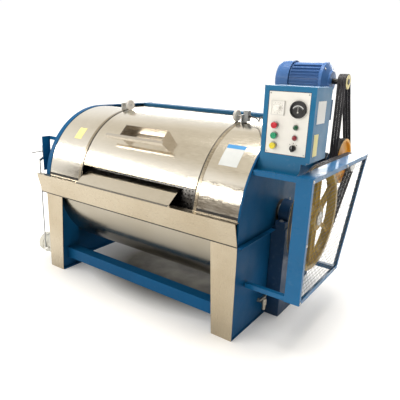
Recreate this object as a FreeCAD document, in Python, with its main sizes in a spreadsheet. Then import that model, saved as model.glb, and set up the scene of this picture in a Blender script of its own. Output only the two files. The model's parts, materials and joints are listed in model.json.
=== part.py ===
"""Industrial horizontal-drum washing machine, built as separate pieces in millimetres.

X runs along the drum, towards the belt drive; Y runs from the loading side to the back; Z is up.
The origin is on the floor, in the middle of the four anchor holes.
"""

import FreeCAD
import Part
import Sketcher
import math
import os
import re

doc = FreeCAD.newDocument("WashingMachine")
sheet = doc.addObject("Spreadsheet::Sheet", "Dims")

SIZES = [
    # Frame and end plates
    ("frame_length", 1752, "outer face to outer face of the end plates"),
    ("frame_depth", 1216, "front to back of the end plates"),
    ("arch_r", 570, "radius of the end plates' front arch"),
    ("floor_gap", 148, "floor to the lowest point of the arch circle"),
    ("axis_z", "=arch_r + floor_gap", "height of the drum axis"),
    ("plate_wall", 6, "end plate and rim thickness"),
    ("rim_left", 40, "width of the left plate's rim"),
    ("rim_right", 12, "width of the right plate's rim"),
    ("shaft_hole_r", 75, "hole in the end plates for the drum shaft"),
    ("foot_wall", 10, "floor plate thickness"),
    ("anchor_in_x", 96, "anchor hole in from the end plate"),
    ("anchor_x", "=frame_length / 2 - anchor_in_x", "anchor hole distance from the middle, along the drum"),
    ("anchor_in_y", 228, "anchor hole in from the front and back"),
    ("anchor_y", "=frame_depth / 2 - anchor_in_y", "anchor hole distance from the middle, front to back"),
    ("anchor_r", 9, "anchor hole radius"),
    ("foot_half", 60, "half the width of a floor plate"),
    ("post_width", 96, "front leg post width, along the drum"),
    ("post_depth", 180, "front leg post depth"),
    ("post_wall", 5, "front leg post wall"),
    ("rail_width", 80, "lower rail width"),
    ("rail_height", 85, "lower rail height"),
    ("rail_wall", 5, "rail wall"),
    ("rail_z", 90, "underside of the lower rails"),
    ("rail_inset", 60, "lower rails in from the front and back"),
    ("top_rail", 50, "leg of the top rear angle"),
    # Stainless front and tub
    ("sheet_wall", 3, "stainless sheet thickness"),
    ("fascia_height", 154, "front fascia height"),
    ("fascia_rise", 61, "fascia top above the drum axis"),
    ("fascia_z", "=axis_z + fascia_rise - fascia_height", "underside of the front fascia"),
    ("fascia_lean", 40, "how far the fascia leans out at the top"),
    ("fascia_over", 60, "fascia overhang past the left plate"),
    ("leg_top", 185, "leg cover width at the top"),
    ("leg_bottom", 150, "leg cover width at the floor"),
    ("tub_drop", 10, "tub inside the arch"),
    ("tub_r", "=arch_r - tub_drop", "tub outer radius"),
    ("shell_drop", 4, "shells inside the arch"),
    ("shell_r", "=arch_r - shell_drop", "outer radius of the side shells and the door"),
    ("shell_wall", 4, "side shell and door thickness"),
    ("cover_drop", 26, "top cover below the end plates' top"),
    ("cover_front", 168, "front edge of the top cover behind the drum axis"),
    # Sliding door, tracks and flap
    ("door_from_left", 406, "door edge in from the left end plate"),
    ("door_left", "=-frame_length / 2 + door_from_left", "left edge of the sliding door"),
    ("door_from_right", 336, "door edge in from the right end plate"),
    ("door_right", "=frame_length / 2 - door_from_right", "right edge of the sliding door"),
    ("door_foot_deg", 19.5, "door's lower edge above the front horizontal"),
    ("door_span_deg", 92.5, "arc covered by the door"),
    ("seam_gap", 3, "gap between the door and a side shell"),
    ("run_gap", 0.3, "running clearance between moving pieces"),
    ("track_width", 60, "door track width"),
    ("track_wall", 4, "door track thickness"),
    ("handle_deg", 47, "handle's middle above the front horizontal"),
    ("handle_shift", 9, "handle left of the middle of the door"),
    ("handle_x", "=(door_left + door_right) / 2 - handle_shift", "middle of the handle along the drum"),
    ("handle_width", 380, "handle hood width"),
    ("handle_height", 96, "handle hood height along the arc"),
    ("handle_depth", 74, "handle hood depth"),
    ("handle_wall", 4, "handle sheet thickness"),
    ("grip_width", 520, "grip width"),
    ("grip_height", 22, "grip thickness"),
    ("flap_left", "=door_left", "left end of the loading flap"),
    ("flap_short", 150, "flap shorter than the door"),
    ("flap_width", "=door_right - door_left - flap_short", "loading flap width"),
    ("flap_length", 154, "loading flap length from its hinge"),
    ("flap_wall", 3, "loading flap thickness"),
    ("flap_deg", 37, "loading flap slope at rest"),
    ("flap_lug", 14, "width of a flap lug"),
    ("hinge_r", 4, "flap hinge rod radius"),
    # Drum
    ("drum_space", 60, "space between drum and tub"),
    ("drum_r", "=tub_r - drum_space", "drum outer radius"),
    ("drum_wall", 4, "drum wall"),
    ("drum_gap", 34, "drum end to end plate"),
    ("drum_end", 8, "drum end disc thickness"),
    ("drum_mouth_deg", 56, "arc of the drum's loading mouth"),
    ("mouth_short", 852, "drum mouth shorter than the frame"),
    ("drum_mouth_width", "=frame_length - mouth_short", "width of the drum's loading mouth"),
    ("drum_door_lap", 30, "how far the drum door laps over the mouth"),
    ("rib_height", 70, "lifting rib height"),
    ("rib_width", 60, "lifting rib width"),
    ("shaft_r", 45, "drum shaft radius"),
    ("hub_r", 130, "drum end hub radius"),
    ("hub_depth", 20, "drum end hub depth"),
    ("bearing_gap", 20, "end plate to drum bearing"),
    ("bearing_width", 70, "drum bearing width"),
    ("bearing_r", 85, "drum bearing housing radius"),
    ("bearing_foot", 85, "drum axis above the bearing's foot"),
    ("bearing_half", 125, "half the length of the bearing's foot"),
    ("pedestal_width", 100, "bearing pedestal width along the drum"),
    ("pedestal_wall", 8, "bearing pedestal wall"),
    # Belt drive
    ("belt_pitch", 20, "distance between belt grooves"),
    ("groove_width", 17, "belt groove width"),
    ("groove_depth", 10, "belt groove depth"),
    ("belt_width", 16, "belt width"),
    ("belt_seat", 0.5, "belt above the groove's floor"),
    ("belt_proud", 2, "belt above the pulley rim"),
    ("wheel_r", 345, "drum wheel radius"),
    ("drive_out", 202, "drum wheel past the right end plate"),
    ("wheel_x", "=frame_length / 2 + drive_out", "inner face of the drum wheel"),
    ("pulley_width", 62, "width of the grooved rims"),
    ("rim_depth", 34, "drum wheel rim depth"),
    ("thin_rim", 18, "large pulley rim depth"),
    ("spoke_width", 44, "drum wheel spoke width"),
    ("spoke_depth", 26, "drum wheel spoke depth"),
    ("wheel_hub_r", 82, "drum wheel hub radius"),
    ("lay_back", -20, "layshaft past the back of the end plate"),
    ("lay_y", "=frame_depth / 2 + lay_back", "layshaft behind the middle"),
    ("lay_up", 274, "layshaft above the drum axis"),
    ("fit_gap", 8, "space beside turning pieces"),
    ("lay_z", "=axis_z + lay_up", "layshaft height"),
    ("lay_r", 25, "layshaft radius"),
    ("big_pulley_r", 166, "layshaft large pulley radius"),
    ("small_pulley_r", 68, "layshaft small pulley radius"),
    ("pulley_step", 12, "gap between the two belt planes"),
    ("pulley_web", 20, "recess beside a pulley's web"),
    ("lay_bearing_r", 46, "layshaft bearing housing radius"),
    ("lay_bearing_width", 44, "layshaft bearing width"),
    ("lay_foot", 52, "layshaft axis above its bracket"),
    ("lay_bracket", 15, "layshaft bracket thickness"),
    ("motor_in", 152, "motor axis in from the back"),
    ("motor_y", "=frame_depth / 2 - motor_in", "motor axis behind the middle"),
    ("motor_up", 274, "motor axis above the end plates"),
    ("motor_z", "=axis_z + arch_r + motor_up", "motor axis height"),
    ("motor_back", 311, "fan end in from the right end plate"),
    ("motor_left", "=frame_length / 2 - motor_back", "fan end of the motor"),
    ("motor_length", 390, "motor length without its shaft"),
    ("motor_r", 122, "motor body radius under the fins"),
    ("motor_fin", 10, "motor fin height"),
    ("fin_wall", 5, "motor fin thickness"),
    ("cowl_length", 110, "fan cowl length"),
    ("cowl_round", 26, "rounding of the fan cowl's end"),
    ("cowl_wall", 5, "fan cowl thickness"),
    ("shield_length", 58, "drive end shield length"),
    ("motor_shaft_r", 19, "motor shaft radius"),
    ("motor_pulley_r", 50, "motor pulley radius"),
    ("motor_foot", 132, "motor axis above its platform"),
    ("platform_wall", 10, "motor platform thickness"),
    ("platform_leg", 40, "motor platform leg width"),
    # Belt guard
    ("guard_gap", 2, "drum wheel to belt guard"),
    ("guard_x", "=wheel_x + pulley_width + guard_gap", "inner edge of the belt guard"),
    ("guard_depth", 94, "belt guard depth"),
    ("guard_in", 120, "belt guard in from the front"),
    ("guard_front", "=-frame_depth / 2 + guard_in", "front of the belt guard"),
    ("guard_down", 398, "belt guard below the drum axis"),
    ("guard_low", "=axis_z - guard_down", "underside of the belt guard"),
    ("guard_up", 352, "belt guard above the drum axis"),
    ("guard_top", "=axis_z + guard_up", "top of the belt guard"),
    ("guard_low_run", 664, "length of the guard at the bottom"),
    ("guard_rear_low", "=guard_front + guard_low_run", "lower rear corner of the belt guard"),
    ("guard_top_run", 1070, "length of the guard at the top"),
    ("guard_rear_top", "=guard_front + guard_top_run", "upper rear corner of the belt guard"),
    ("guard_wall", 3, "belt guard sheet"),
    ("guard_border", 26, "flange round the guard mesh"),
    ("mesh_pitch", 56, "spacing of the guard mesh"),
    ("mesh_wire", 3, "guard mesh strand"),
    ("slot_length", 28, "straight part of a slot in the side angle"),
    ("slot_width", 10, "slot in the side angle"),
    ("strut_width", 30, "guard strut width"),
    # Control box
    ("box_gap", 5, "control box to right end plate"),
    ("box_width", 300, "control box width"),
    ("box_depth", 236, "control box depth"),
    ("box_height", 400, "control box height"),
    ("box_in", 186, "control box in from the front"),
    ("box_front", "=-frame_depth / 2 + box_in", "front of the control box"),
    ("box_up", 419, "control box above the drum axis"),
    ("box_z", "=axis_z + box_up", "underside of the control box"),
    ("box_wall", 3, "control box sheet"),
    ("box_border", 28, "border round the control panel"),
    ("panel_wall", 3, "control panel thickness"),
    ("panel_recess", 1.5, "control panel behind the box front"),
    ("apron_round", 40, "rounded corner of the box bracket"),
    ("bracket_drop", 84, "apron under the control box"),
    ("meter_r", 45, "current meter radius"),
    ("meter_proud", 14, "current meter above the panel"),
    ("timer_side", 78, "timer side"),
    ("timer_proud", 6, "timer above the panel"),
    ("button_r", 15, "push button radius"),
    ("button_proud", 14, "push button above its collar"),
    ("button_travel", 6, "push button travel"),
    ("collar_r", 21, "button collar radius"),
    ("collar_proud", 7, "collar above the panel"),
    ("lamp_r", 14, "lamp lens radius"),
    ("lamp_proud", 10, "lamp lens above its bezel"),
    ("knob_r", 17, "selector knob radius"),
    ("knob_proud", 9, "selector disc above its collar"),
    ("screw_r", 4, "panel screw head radius"),
    # Guide rollers, switch and cable
    ("roller_r", 38, "door guide roller radius"),
    ("roller_width", 20, "door guide roller width"),
    ("roller_pin_r", 7, "guide roller pin radius"),
    ("roller_back", -60, "guide roller behind the drum axis"),
    ("lug_wall", 8, "guide roller lug thickness"),
    ("switch_height", 70, "door switch height"),
    ("switch_width", 34, "door switch width"),
    ("cable_r", 4, "switch cable radius"),
    ("cable_lead", 50, "cable straight out of the switch"),
    ("cable_run", 108, "cable out to its first bend"),
    ("cable_side", 67, "cable forward to its first bend"),
    ("cable_far_run", 153, "cable out to its second bend"),
    ("cable_far_side", 152, "cable forward to its second bend"),
    ("cable_sag", 20, "cable below the switch between its bends"),
    ("cable_entry", 66, "cable straight into the control box"),
    # Drain and its lever
    ("drain_in", 108, "drain pipe in from the front"),
    ("drain_y", "=-frame_depth / 2 + drain_in", "drain pipe behind the middle"),
    ("drain_z", 130, "drain pipe height"),
    ("drain_r", 80, "drain pipe outer radius"),
    ("drain_wall", 4, "drain pipe wall"),
    ("drain_length", 200, "drain pipe past the left end plate"),
    ("flange_r", 95, "drain flange radius"),
    ("flange_wall", 12, "drain flange thickness"),
    ("spigot", 50, "free end of the drain pipe, past its bead"),
    ("disc_out", 52, "drain disc past its flange"),
    ("spindle_r", 8, "drain spindle and lever pivot radius"),
    ("lever_in", 60, "lever pivot in from the front"),
    ("lever_y", "=-frame_depth / 2 + lever_in", "lever pivot behind the middle"),
    ("lever_up", 177, "lever pivot above the drum axis"),
    ("lever_z", "=axis_z + lever_up", "lever pivot height"),
    ("lever_length", 90, "lever bar above its pivot"),
    ("lever_wall", 8, "lever and crank thickness"),
    ("handle_reach", 95, "lever handle in front of its bar"),
    ("crank", 44, "crank arm of the drain linkage"),
    ("crank_deg", 30, "slope of the cranks at rest"),
    ("link_r", 5, "link rod radius"),
    ("lever_half", 27, "lever bracket unit"),
    ("cock_in", 338, "test cock in from the front"),
    ("cock_y", "=-frame_depth / 2 + cock_in", "test cock behind the middle"),
    ("cock_z", 142, "test cock height"),
    ("cock_out", 40, "test cock past the right end plate"),
    ("cock_r", 18, "test cock body radius"),
    ("inlet_r", 30, "water inlet outer radius"),
    ("inlet_bore_r", 25, "water inlet bore radius"),
    ("inlet_length", 70, "water inlet length"),
]
for row, (alias, value, meaning) in enumerate(SIZES, start=1):
    sheet.set(f"A{row}", str(value))
    sheet.setAlias(f"A{row}", alias)
    sheet.set(f"B{row}", meaning)
doc.recompute()
ALIASES = {alias for alias, _, _ in SIZES}

# Places that follow from the driving sizes.
HALF = "frame_length / 2"
FRONT = "(-frame_depth / 2)"
REAR = "(frame_depth / 2)"
AXIS_Y = "(arch_r - frame_depth / 2)"
LEFT_FACE = "(-frame_length / 2 + plate_wall)"
LEFT_RIM = "(-frame_length / 2 + rim_left)"
RIGHT_FACE = "(frame_length / 2 - rim_right)"
RIGHT_SKIN = "(frame_length / 2 - rim_right + plate_wall)"
ARCH_TOP = "(axis_z + arch_r)"
COVER_TOP = "(axis_z + arch_r - cover_drop)"
FASCIA_TOP = "(fascia_z + fascia_height)"
FULL_TURN = "360"
WORD = re.compile(r"[a-z_][a-z_0-9]*")


def bind(text):
    """The expression with each size's name pointed at its cell."""
    return WORD.sub(lambda m: "Dims." + m[0] if m[0] in ALIASES else m[0], str(text))


def number(text):
    """The value of an expression of sizes."""
    found = sheet.evalExpression(bind(text))
    return float(getattr(found, "Value", found))


def place(item, x="0", y="0", z="0", turn=""):
    """Bind an object's place, and its turn where one is given."""
    turn = turn or "rotation(vector(0; 0; 1); 0)"
    item.setExpression("Placement", bind(f"placement(vector({x}; {y}; {z}); {turn})"))
    return item


def new(kind, name):
    item = doc.addObject(kind, name)
    item.Label = name
    return item


def box(name, x, y, z):
    """A box between pairs of expressions."""
    item = new("Part::Box", name)
    for prop, (low, high) in zip(("Length", "Width", "Height"), (x, y, z)):
        item.setExpression(prop, bind(f"({high}) - ({low})"))
    return place(item, x[0], y[0], z[0])


TURNS = {
    "X": "rotation(vector(1; 1; 1); 120)",
    "Y": "rotation(vector(1; 0; 0); -90)",
    "Z": "rotation(vector(0; 0; 1); 0)",
}


def rod(name, axis, start, length, radius):
    """A cylinder from a start point along X, Y or Z."""
    item = new("Part::Cylinder", name)
    item.setExpression("Radius", bind(radius))
    item.setExpression("Height", bind(length))
    return place(item, *start, TURNS[axis])


def wedge(name, x, r, first, span, y=AXIS_Y, z="axis_z"):
    """A sector of a cylinder along X: its arc starts at `first` degrees from +Y towards +Z."""
    item = new("Part::Cylinder", name)
    item.setExpression("Radius", bind(r))
    item.setExpression("Height", bind(f"({x[1]}) - ({x[0]})"))
    item.setExpression("Angle", bind(span))
    return place(item, x[0], y, z, f"rotation(vector(1; 0; 0); {first}) * {TURNS['X']}")


def fuse(name, items):
    item = new("Part::MultiFuse", name)
    item.Shapes = list(items)
    item.Refine = True
    return item


def cut(name, base, *tools):
    tool = tools[0] if len(tools) == 1 else fuse(name + "_tools", tools)
    item = new("Part::Cut", name)
    item.Base = base
    item.Tool = tool
    item.Refine = True
    return item


def group(name, items):
    """Separate solids that share one node."""
    item = new("Part::Compound", name)
    item.Links = list(items)
    return item


def arc_sheet(name, x, outer, wall, first, span):
    """A curved sheet about the drum axis."""
    skin = wedge(name + "_outer", x, outer, first, span)
    core = wedge(name + "_core", (f"{x[0]} - 1", f"{x[1]} + 1"), f"{outer} - {wall}", "0", FULL_TURN)
    return cut(name, skin, core)


PLANES = {"XY": "XY_Plane", "XZ": "XZ_Plane", "YZ": "YZ_Plane"}


def sketch_loop(sketch, points):
    """A closed outline whose corners are bound to expressions."""
    first = sketch.GeometryCount
    count = len(points)
    at = [FreeCAD.Vector(number(u), number(v), 0) for u, v in points]
    for i in range(count):
        sketch.addGeometry(Part.LineSegment(at[i], at[(i + 1) % count]), False)
    for i in range(count):
        sketch.addConstraint(Sketcher.Constraint("Coincident", first + i, 2, first + (i + 1) % count, 1))
    for i, corner in enumerate(points):
        for kind, text, value in zip(("DistanceX", "DistanceY"), corner, at[i]):
            index = sketch.addConstraint(Sketcher.Constraint(kind, -1, 1, first + i, 1, value))
            sketch.setExpression(f"Constraints[{index}]", bind(text))


def outline_body(name, plane, loops):
    body = new("PartDesign::Body", name)
    sketch = body.newObject("Sketcher::SketchObject", name + "_sketch")
    base = [item for item in body.Origin.OriginFeatures if item.Role == PLANES[plane]][0]
    sketch.AttachmentSupport = [(base, "")]
    sketch.MapMode = "FlatFace"
    for points in loops:
        sketch_loop(sketch, points)
    return body, sketch


def pad(name, plane, loops, length, x="0", y="0", z="0", turn=""):
    """An outline drawn on a plane and padded along that plane's positive axis."""
    body, sketch = outline_body(name, plane, loops)
    feature = body.newObject("PartDesign::Pad", name + "_pad")
    feature.Profile = sketch
    feature.setExpression("Length", bind(length))
    feature.Reversed = plane == "XZ"
    return place(body, x, y, z, turn)


def spin(name, points, x, y, z):
    """An outline of (along X, radius) points revolved about X."""
    body, sketch = outline_body(name, "XY", [points])
    feature = body.newObject("PartDesign::Revolution", name + "_turned")
    feature.Profile = sketch
    feature.ReferenceAxis = (sketch, ["H_Axis"])
    feature.Angle = 360
    return place(body, x, y, z)


NODES = {}


def node(item, name):
    """Record a finished sub-part under the name of its file."""
    item.Label = name
    NODES[name] = item
    return item


# End plates: one sheet with a folded rim, arched at the front and flat at the top.
def end_outline(name, x, inset):
    low = box(name + "_low", x, (f"{FRONT} + {inset}", f"{REAR} - {inset}"), (inset, "axis_z"))
    arch = wedge(name + "_arch", x, f"arch_r - {inset}", "90", "90")
    top = box(name + "_top", x, (AXIS_Y, f"{REAR} - {inset}"), ("axis_z", f"{ARCH_TOP} - {inset}"))
    return fuse(name, [low, arch, top])


def end_plate(side, x, hollow):
    outer = end_outline(f"plate_{side}_outer", x, "0")
    inner = end_outline(f"plate_{side}_inner", hollow, "plate_wall")
    hole = rod(f"plate_{side}_hole", "X", (f"{x[0]} - 1", AXIS_Y, "axis_z"), f"{x[1]} - {x[0]} + 2",
               "shaft_hole_r")
    tools = [inner, hole]
    if side == "left":
        tools.append(
            rod("plate_left_drain", "X", (f"{x[0]} - 1", "drain_y", "drain_z"), f"{x[1]} - {x[0]} + 2",
                "drain_r + run_gap")
        )
    return node(cut(f"end_plate_{side}", outer, *tools), f"end_plate_{side}")


end_plate("left", (f"-{HALF}", LEFT_RIM), (LEFT_FACE, f"{LEFT_RIM} + 1"))
end_plate("right", (RIGHT_FACE, HALF), (RIGHT_SKIN, f"{HALF} + 1"))


# Floor plates with the anchor holes, two under each end plate.
def floor_plate(name, x, y, hole_x, hole_y):
    plate = box(name + "_plate", x, y, ("0", "foot_wall"))
    hole = rod(name + "_hole", "Z", (hole_x, hole_y, "-1"), "foot_wall + 2", "anchor_r")
    return cut(name, plate, hole)


LEFT_FOOT = (LEFT_RIM, "-anchor_x + foot_half")
RIGHT_FOOT = ("anchor_x - foot_half", RIGHT_FACE)
FRONT_FOOT = (f"{FRONT} + plate_wall", "-anchor_y + foot_half")
REAR_FOOT = ("anchor_y - foot_half", f"{REAR} - plate_wall")
node(
    group(
        "floor_plates",
        [
            floor_plate("foot_front_left", LEFT_FOOT, FRONT_FOOT, "-anchor_x", "-anchor_y"),
            floor_plate("foot_rear_left", LEFT_FOOT, REAR_FOOT, "-anchor_x", "anchor_y"),
            floor_plate("foot_front_right", RIGHT_FOOT, FRONT_FOOT, "anchor_x", "-anchor_y"),
            floor_plate("foot_rear_right", RIGHT_FOOT, REAR_FOOT, "anchor_x", "anchor_y"),
        ],
    ),
    "floor_plates",
)

# Front leg posts: square tubes cut to the round of the tub.
POST_Y = (f"{FRONT}", f"{FRONT} + post_depth")
LEFT_POST = (LEFT_RIM, f"{LEFT_RIM} + post_width")
RIGHT_POST = (f"{RIGHT_FACE} - post_width", RIGHT_FACE)


def leg_post(name, x):
    outer = box(name + "_outer", x, POST_Y, ("foot_wall", "fascia_z"))
    bore = box(
        name + "_bore",
        (f"{x[0]} + post_wall", f"{x[1]} - post_wall"),
        (f"{POST_Y[0]} + post_wall", f"{POST_Y[1]} - post_wall"),
        ("foot_wall - 1", "fascia_z + 1"),
    )
    round_cut = wedge(name + "_round", (f"{x[0]} - 1", f"{x[1]} + 1"), "tub_r + run_gap", "0", FULL_TURN)
    return cut(name, outer, bore, round_cut)


node(group("front_legs", [leg_post("leg_left", LEFT_POST), leg_post("leg_right", RIGHT_POST)]), "front_legs")


# Stainless leg covers: tapered sheets on the front of the posts.
def leg_cover(side, outer_x, sign):
    corners = [
        ("0", "0"),
        (f"{sign} leg_bottom", "0"),
        (f"{sign} leg_top", "fascia_z - run_gap"),
        ("0", "fascia_z - run_gap"),
    ]
    return pad(f"leg_cover_{side}", "XZ", [corners], "sheet_wall", outer_x, f"{FRONT} - sheet_wall", "0")


node(group("leg_covers", [leg_cover("left", f"-{HALF}", ""), leg_cover("right", HALF, "-")]), "leg_covers")

# Lower rails, and the angle along the top of the back.
RAIL_TOP = "rail_z + rail_height"


def tube_rail(name, x, y):
    outer = box(name + "_outer", x, y, ("rail_z", RAIL_TOP))
    bore = box(
        name + "_bore",
        (f"{x[0]} - 1", f"{x[1]} + 1"),
        (f"{y[0]} + rail_wall", f"{y[1]} - rail_wall"),
        ("rail_z + rail_wall", f"{RAIL_TOP} - rail_wall"),
    )
    return cut(name, outer, bore)


FRONT_RAIL_Y = (f"{FRONT} + rail_inset", f"{FRONT} + rail_inset + rail_width")
REAR_RAIL_Y = (f"{REAR} - rail_inset - rail_width", f"{REAR} - rail_inset")
front_rail = tube_rail("lower_front_rail", (LEFT_POST[1], RIGHT_POST[0]), FRONT_RAIL_Y)
rear_rail = tube_rail("lower_rear_rail", (LEFT_FACE, RIGHT_FACE), REAR_RAIL_Y)
RAIL_BACK = f"{REAR} - plate_wall"
top_rail_outline = [
    ("0", "0"),
    ("-top_rail", "0"),
    ("-top_rail", "-rail_wall"),
    ("-rail_wall", "-rail_wall"),
    ("-rail_wall", "-top_rail"),
    ("0", "-top_rail"),
]
top_angle = pad("top_rear_rail", "YZ", [top_rail_outline], f"{RIGHT_FACE} - {LEFT_FACE}", LEFT_FACE,
                RAIL_BACK, f"{ARCH_TOP} - plate_wall")
node(group("cross_rails", [front_rail, rear_rail, top_angle]), "cross_rails")

# Front fascia: a leaning stainless sheet with a lip that carries the shells' lower edges.
FASCIA_FRONT = f"({FRONT} - sheet_wall)"
fascia_outline = [
    ("0", "0"),
    ("-fascia_lean", "fascia_height"),
    ("sheet_wall - 1", "fascia_height"),
    ("sheet_wall - 1", "fascia_height - sheet_wall"),
    ("sheet_wall - fascia_lean", "fascia_height - sheet_wall"),
    ("sheet_wall", "0"),
]
fascia_face = pad("fascia_face", "YZ", [fascia_outline], "frame_length + fascia_over",
                  f"-{HALF} - fascia_over", FASCIA_FRONT, "fascia_z")
SILL_BACK = f"({AXIS_Y} - shell_r + shell_wall + 6)"
fascia_sill = box("fascia_sill", (f"{LEFT_RIM} + run_gap", f"{RIGHT_FACE} - run_gap"),
                  (f"{FRONT} - fascia_lean / 2", SILL_BACK), (f"{FASCIA_TOP} - sheet_wall", FASCIA_TOP))

# Tub: trough, end liners, back wall and flat top cover.
SHELL_FOOT_DEG = "(asin((fascia_z + fascia_height + run_gap - axis_z) / (shell_r - shell_wall)) / (1 deg))"
TUB_FRONT_DEG = "(180 - asin((fascia_z + fascia_height - sheet_wall - 1 - axis_z) / tub_r) / (1 deg))"
node(
    arc_sheet("tub_trough", (LEFT_FACE, RIGHT_FACE), "tub_r", "sheet_wall", TUB_FRONT_DEG,
              f"360 - {TUB_FRONT_DEG}"),
    "tub_trough",
)


def tub_end(name, x):
    disc = rod(name + "_disc", "X", (x, AXIS_Y, "axis_z"), "plate_wall", "tub_r - sheet_wall - run_gap")
    hole = rod(name + "_hole", "X", (f"{x} - 1", AXIS_Y, "axis_z"), "plate_wall + 2", "shaft_hole_r")
    return cut(name, disc, hole)


node(group("tub_ends",
           [tub_end("tub_end_left", LEFT_FACE), tub_end("tub_end_right", f"{RIGHT_FACE} - plate_wall")]),
     "tub_ends")
WALL_Y = f"({AXIS_Y} + tub_r + run_gap)"
INLET_X = "0"
INLET_Z = "(axis_z + arch_r / 2)"
back_sheet = box("back_sheet", (LEFT_FACE, RIGHT_FACE), (WALL_Y, f"{WALL_Y} + sheet_wall"),
                 ("axis_z - tub_r / 8", f"{COVER_TOP} - sheet_wall"))
inlet_tube = rod("inlet_tube", "Y", (INLET_X, WALL_Y, INLET_Z), "inlet_length + sheet_wall", "inlet_r")
inlet_bore = rod("inlet_bore", "Y", (INLET_X, f"{WALL_Y} - 1", INLET_Z), "inlet_length + sheet_wall + 2",
                 "inlet_bore_r")
node(cut("tub_back_wall", fuse("back_block", [back_sheet, inlet_tube]), inlet_bore), "tub_back_wall")
node(
    box("top_cover", (LEFT_FACE, RIGHT_FACE), (f"{AXIS_Y} + cover_front", f"{RAIL_BACK} - rail_wall"),
        (f"{COVER_TOP} - sheet_wall", COVER_TOP)),
    "top_cover",
)

# Side shells beside the sliding door.
SHELL_BACK_DEG = "(acos((cover_front - 2) / shell_r) / (1 deg))"
SHELL_SPAN = f"180 - {SHELL_FOOT_DEG} - {SHELL_BACK_DEG}"
LEFT_SHELL = (LEFT_RIM, "door_left - seam_gap")
RIGHT_SHELL = ("door_right + seam_gap", RIGHT_FACE)
for side, span_x in (("left", LEFT_SHELL), ("right", RIGHT_SHELL)):
    node(arc_sheet(f"shell_{side}", span_x, "shell_r", "shell_wall", SHELL_BACK_DEG, SHELL_SPAN),
         f"shell_{side}")

# Door tracks under both seams, long enough to carry the raised door.
TRACK_BACK_DEG = "12"
TRACK_R = "shell_r - shell_wall - run_gap"
TRACK_SPAN = f"180 - door_foot_deg - {TRACK_BACK_DEG}"
tracks = []
for side, seam in (("left", "door_left"), ("right", "door_right")):
    span_x = (f"{seam} - track_width / 2", f"{seam} + track_width / 2")
    tracks.append(arc_sheet(f"track_{side}", span_x, TRACK_R, "track_wall", TRACK_BACK_DEG, TRACK_SPAN))
node(group("door_tracks", tracks), "door_tracks")

# Sliding door with its handle hood and grip.
node(
    arc_sheet("door_skin", ("door_left", "door_right"), "shell_r", "shell_wall",
              "180 - door_foot_deg - door_span_deg", "door_span_deg"),
    "door_skin",
)
HANDLE_TURN = "rotation(vector(1; 0; 0); -handle_deg)"


def on_door(name, x, out, up):
    """A box standing on the door: out from the skin, and up along it, about the handle's middle."""
    item = new("Part::Box", name)
    for prop, (low, high) in zip(("Length", "Width", "Height"), (x, out, up)):
        item.setExpression(prop, bind(f"({high}) - ({low})"))
    reach = f"(shell_r + {out[1]})"
    return place(
        item,
        x[0],
        f"{AXIS_Y} - {reach} * cos(handle_deg) + ({up[0]}) * sin(handle_deg)",
        f"axis_z + {reach} * sin(handle_deg) + ({up[0]}) * cos(handle_deg)",
        HANDLE_TURN,
    )


HOOD_X = ("handle_x - handle_width / 2", "handle_x + handle_width / 2")
HOOD_UP = ("-handle_height / 2", "handle_height / 2")
hood_block = on_door("hood_block", HOOD_X, ("-1", "handle_depth"), HOOD_UP)
hood_space = on_door("hood_space", (f"{HOOD_X[0]} + handle_wall", f"{HOOD_X[1]} - handle_wall"),
                     ("-2", "handle_depth + 1"), (f"{HOOD_UP[0]} - 1", f"{HOOD_UP[1]} - handle_wall"))
hood_trim = wedge("hood_trim", (f"{HOOD_X[0]} - 1", f"{HOOD_X[1]} + 1"), "shell_r", "0", FULL_TURN)
hood = cut("handle_hood", hood_block, hood_space, hood_trim)
GRIP_X = (f"{HOOD_X[1]} + 20 - grip_width", f"{HOOD_X[1]} + 20")
grip = on_door("handle_grip", GRIP_X, ("handle_depth - grip_height", "handle_depth + handle_wall"),
               ("-handle_height / 2 - grip_height", "-handle_height / 2"))
node(fuse("door_handle", [hood, grip]), "door_handle")

# Loading flap: a sheet rolled round its hinge rod on the fascia's front lip.
FLAP_Y = f"({FASCIA_FRONT} - fascia_lean + hinge_r)"
FLAP_Z = f"({FASCIA_TOP} + hinge_r + run_gap)"
FLAP_TURN = "rotation(vector(1; 0; 0); flap_deg)"
flap_sheet = new("Part::Box", "flap_sheet")
for prop, text in (("Length", "flap_width"), ("Width", "flap_length"), ("Height", "flap_wall")):
    flap_sheet.setExpression(prop, bind(text))
place(flap_sheet, "flap_left", f"{FLAP_Y} + flap_wall / 2 * sin(flap_deg)",
      f"{FLAP_Z} - flap_wall / 2 * cos(flap_deg)", FLAP_TURN)
flap_roll = rod("flap_roll", "X", ("flap_left", FLAP_Y, FLAP_Z), "flap_width", "hinge_r")
node(fuse("loading_flap", [flap_sheet, flap_roll]), "loading_flap")


def hinge_lug(name, x):
    """A lug on the fascia that holds one end of the flap's hinge."""
    return box(name, (x, f"{x} + flap_lug"), (f"{FLAP_Y} - hinge_r", f"{FLAP_Y} + 3 * hinge_r"),
               (f"{FASCIA_TOP} - 1", f"{FLAP_Z} + hinge_r"))


lug_left = hinge_lug("lug_left", "flap_left - flap_lug - run_gap")
lug_right = hinge_lug("lug_right", "flap_left + flap_width + run_gap")
node(fuse("front_fascia", [fascia_face, fascia_sill, lug_left, lug_right]), "front_fascia")

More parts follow.
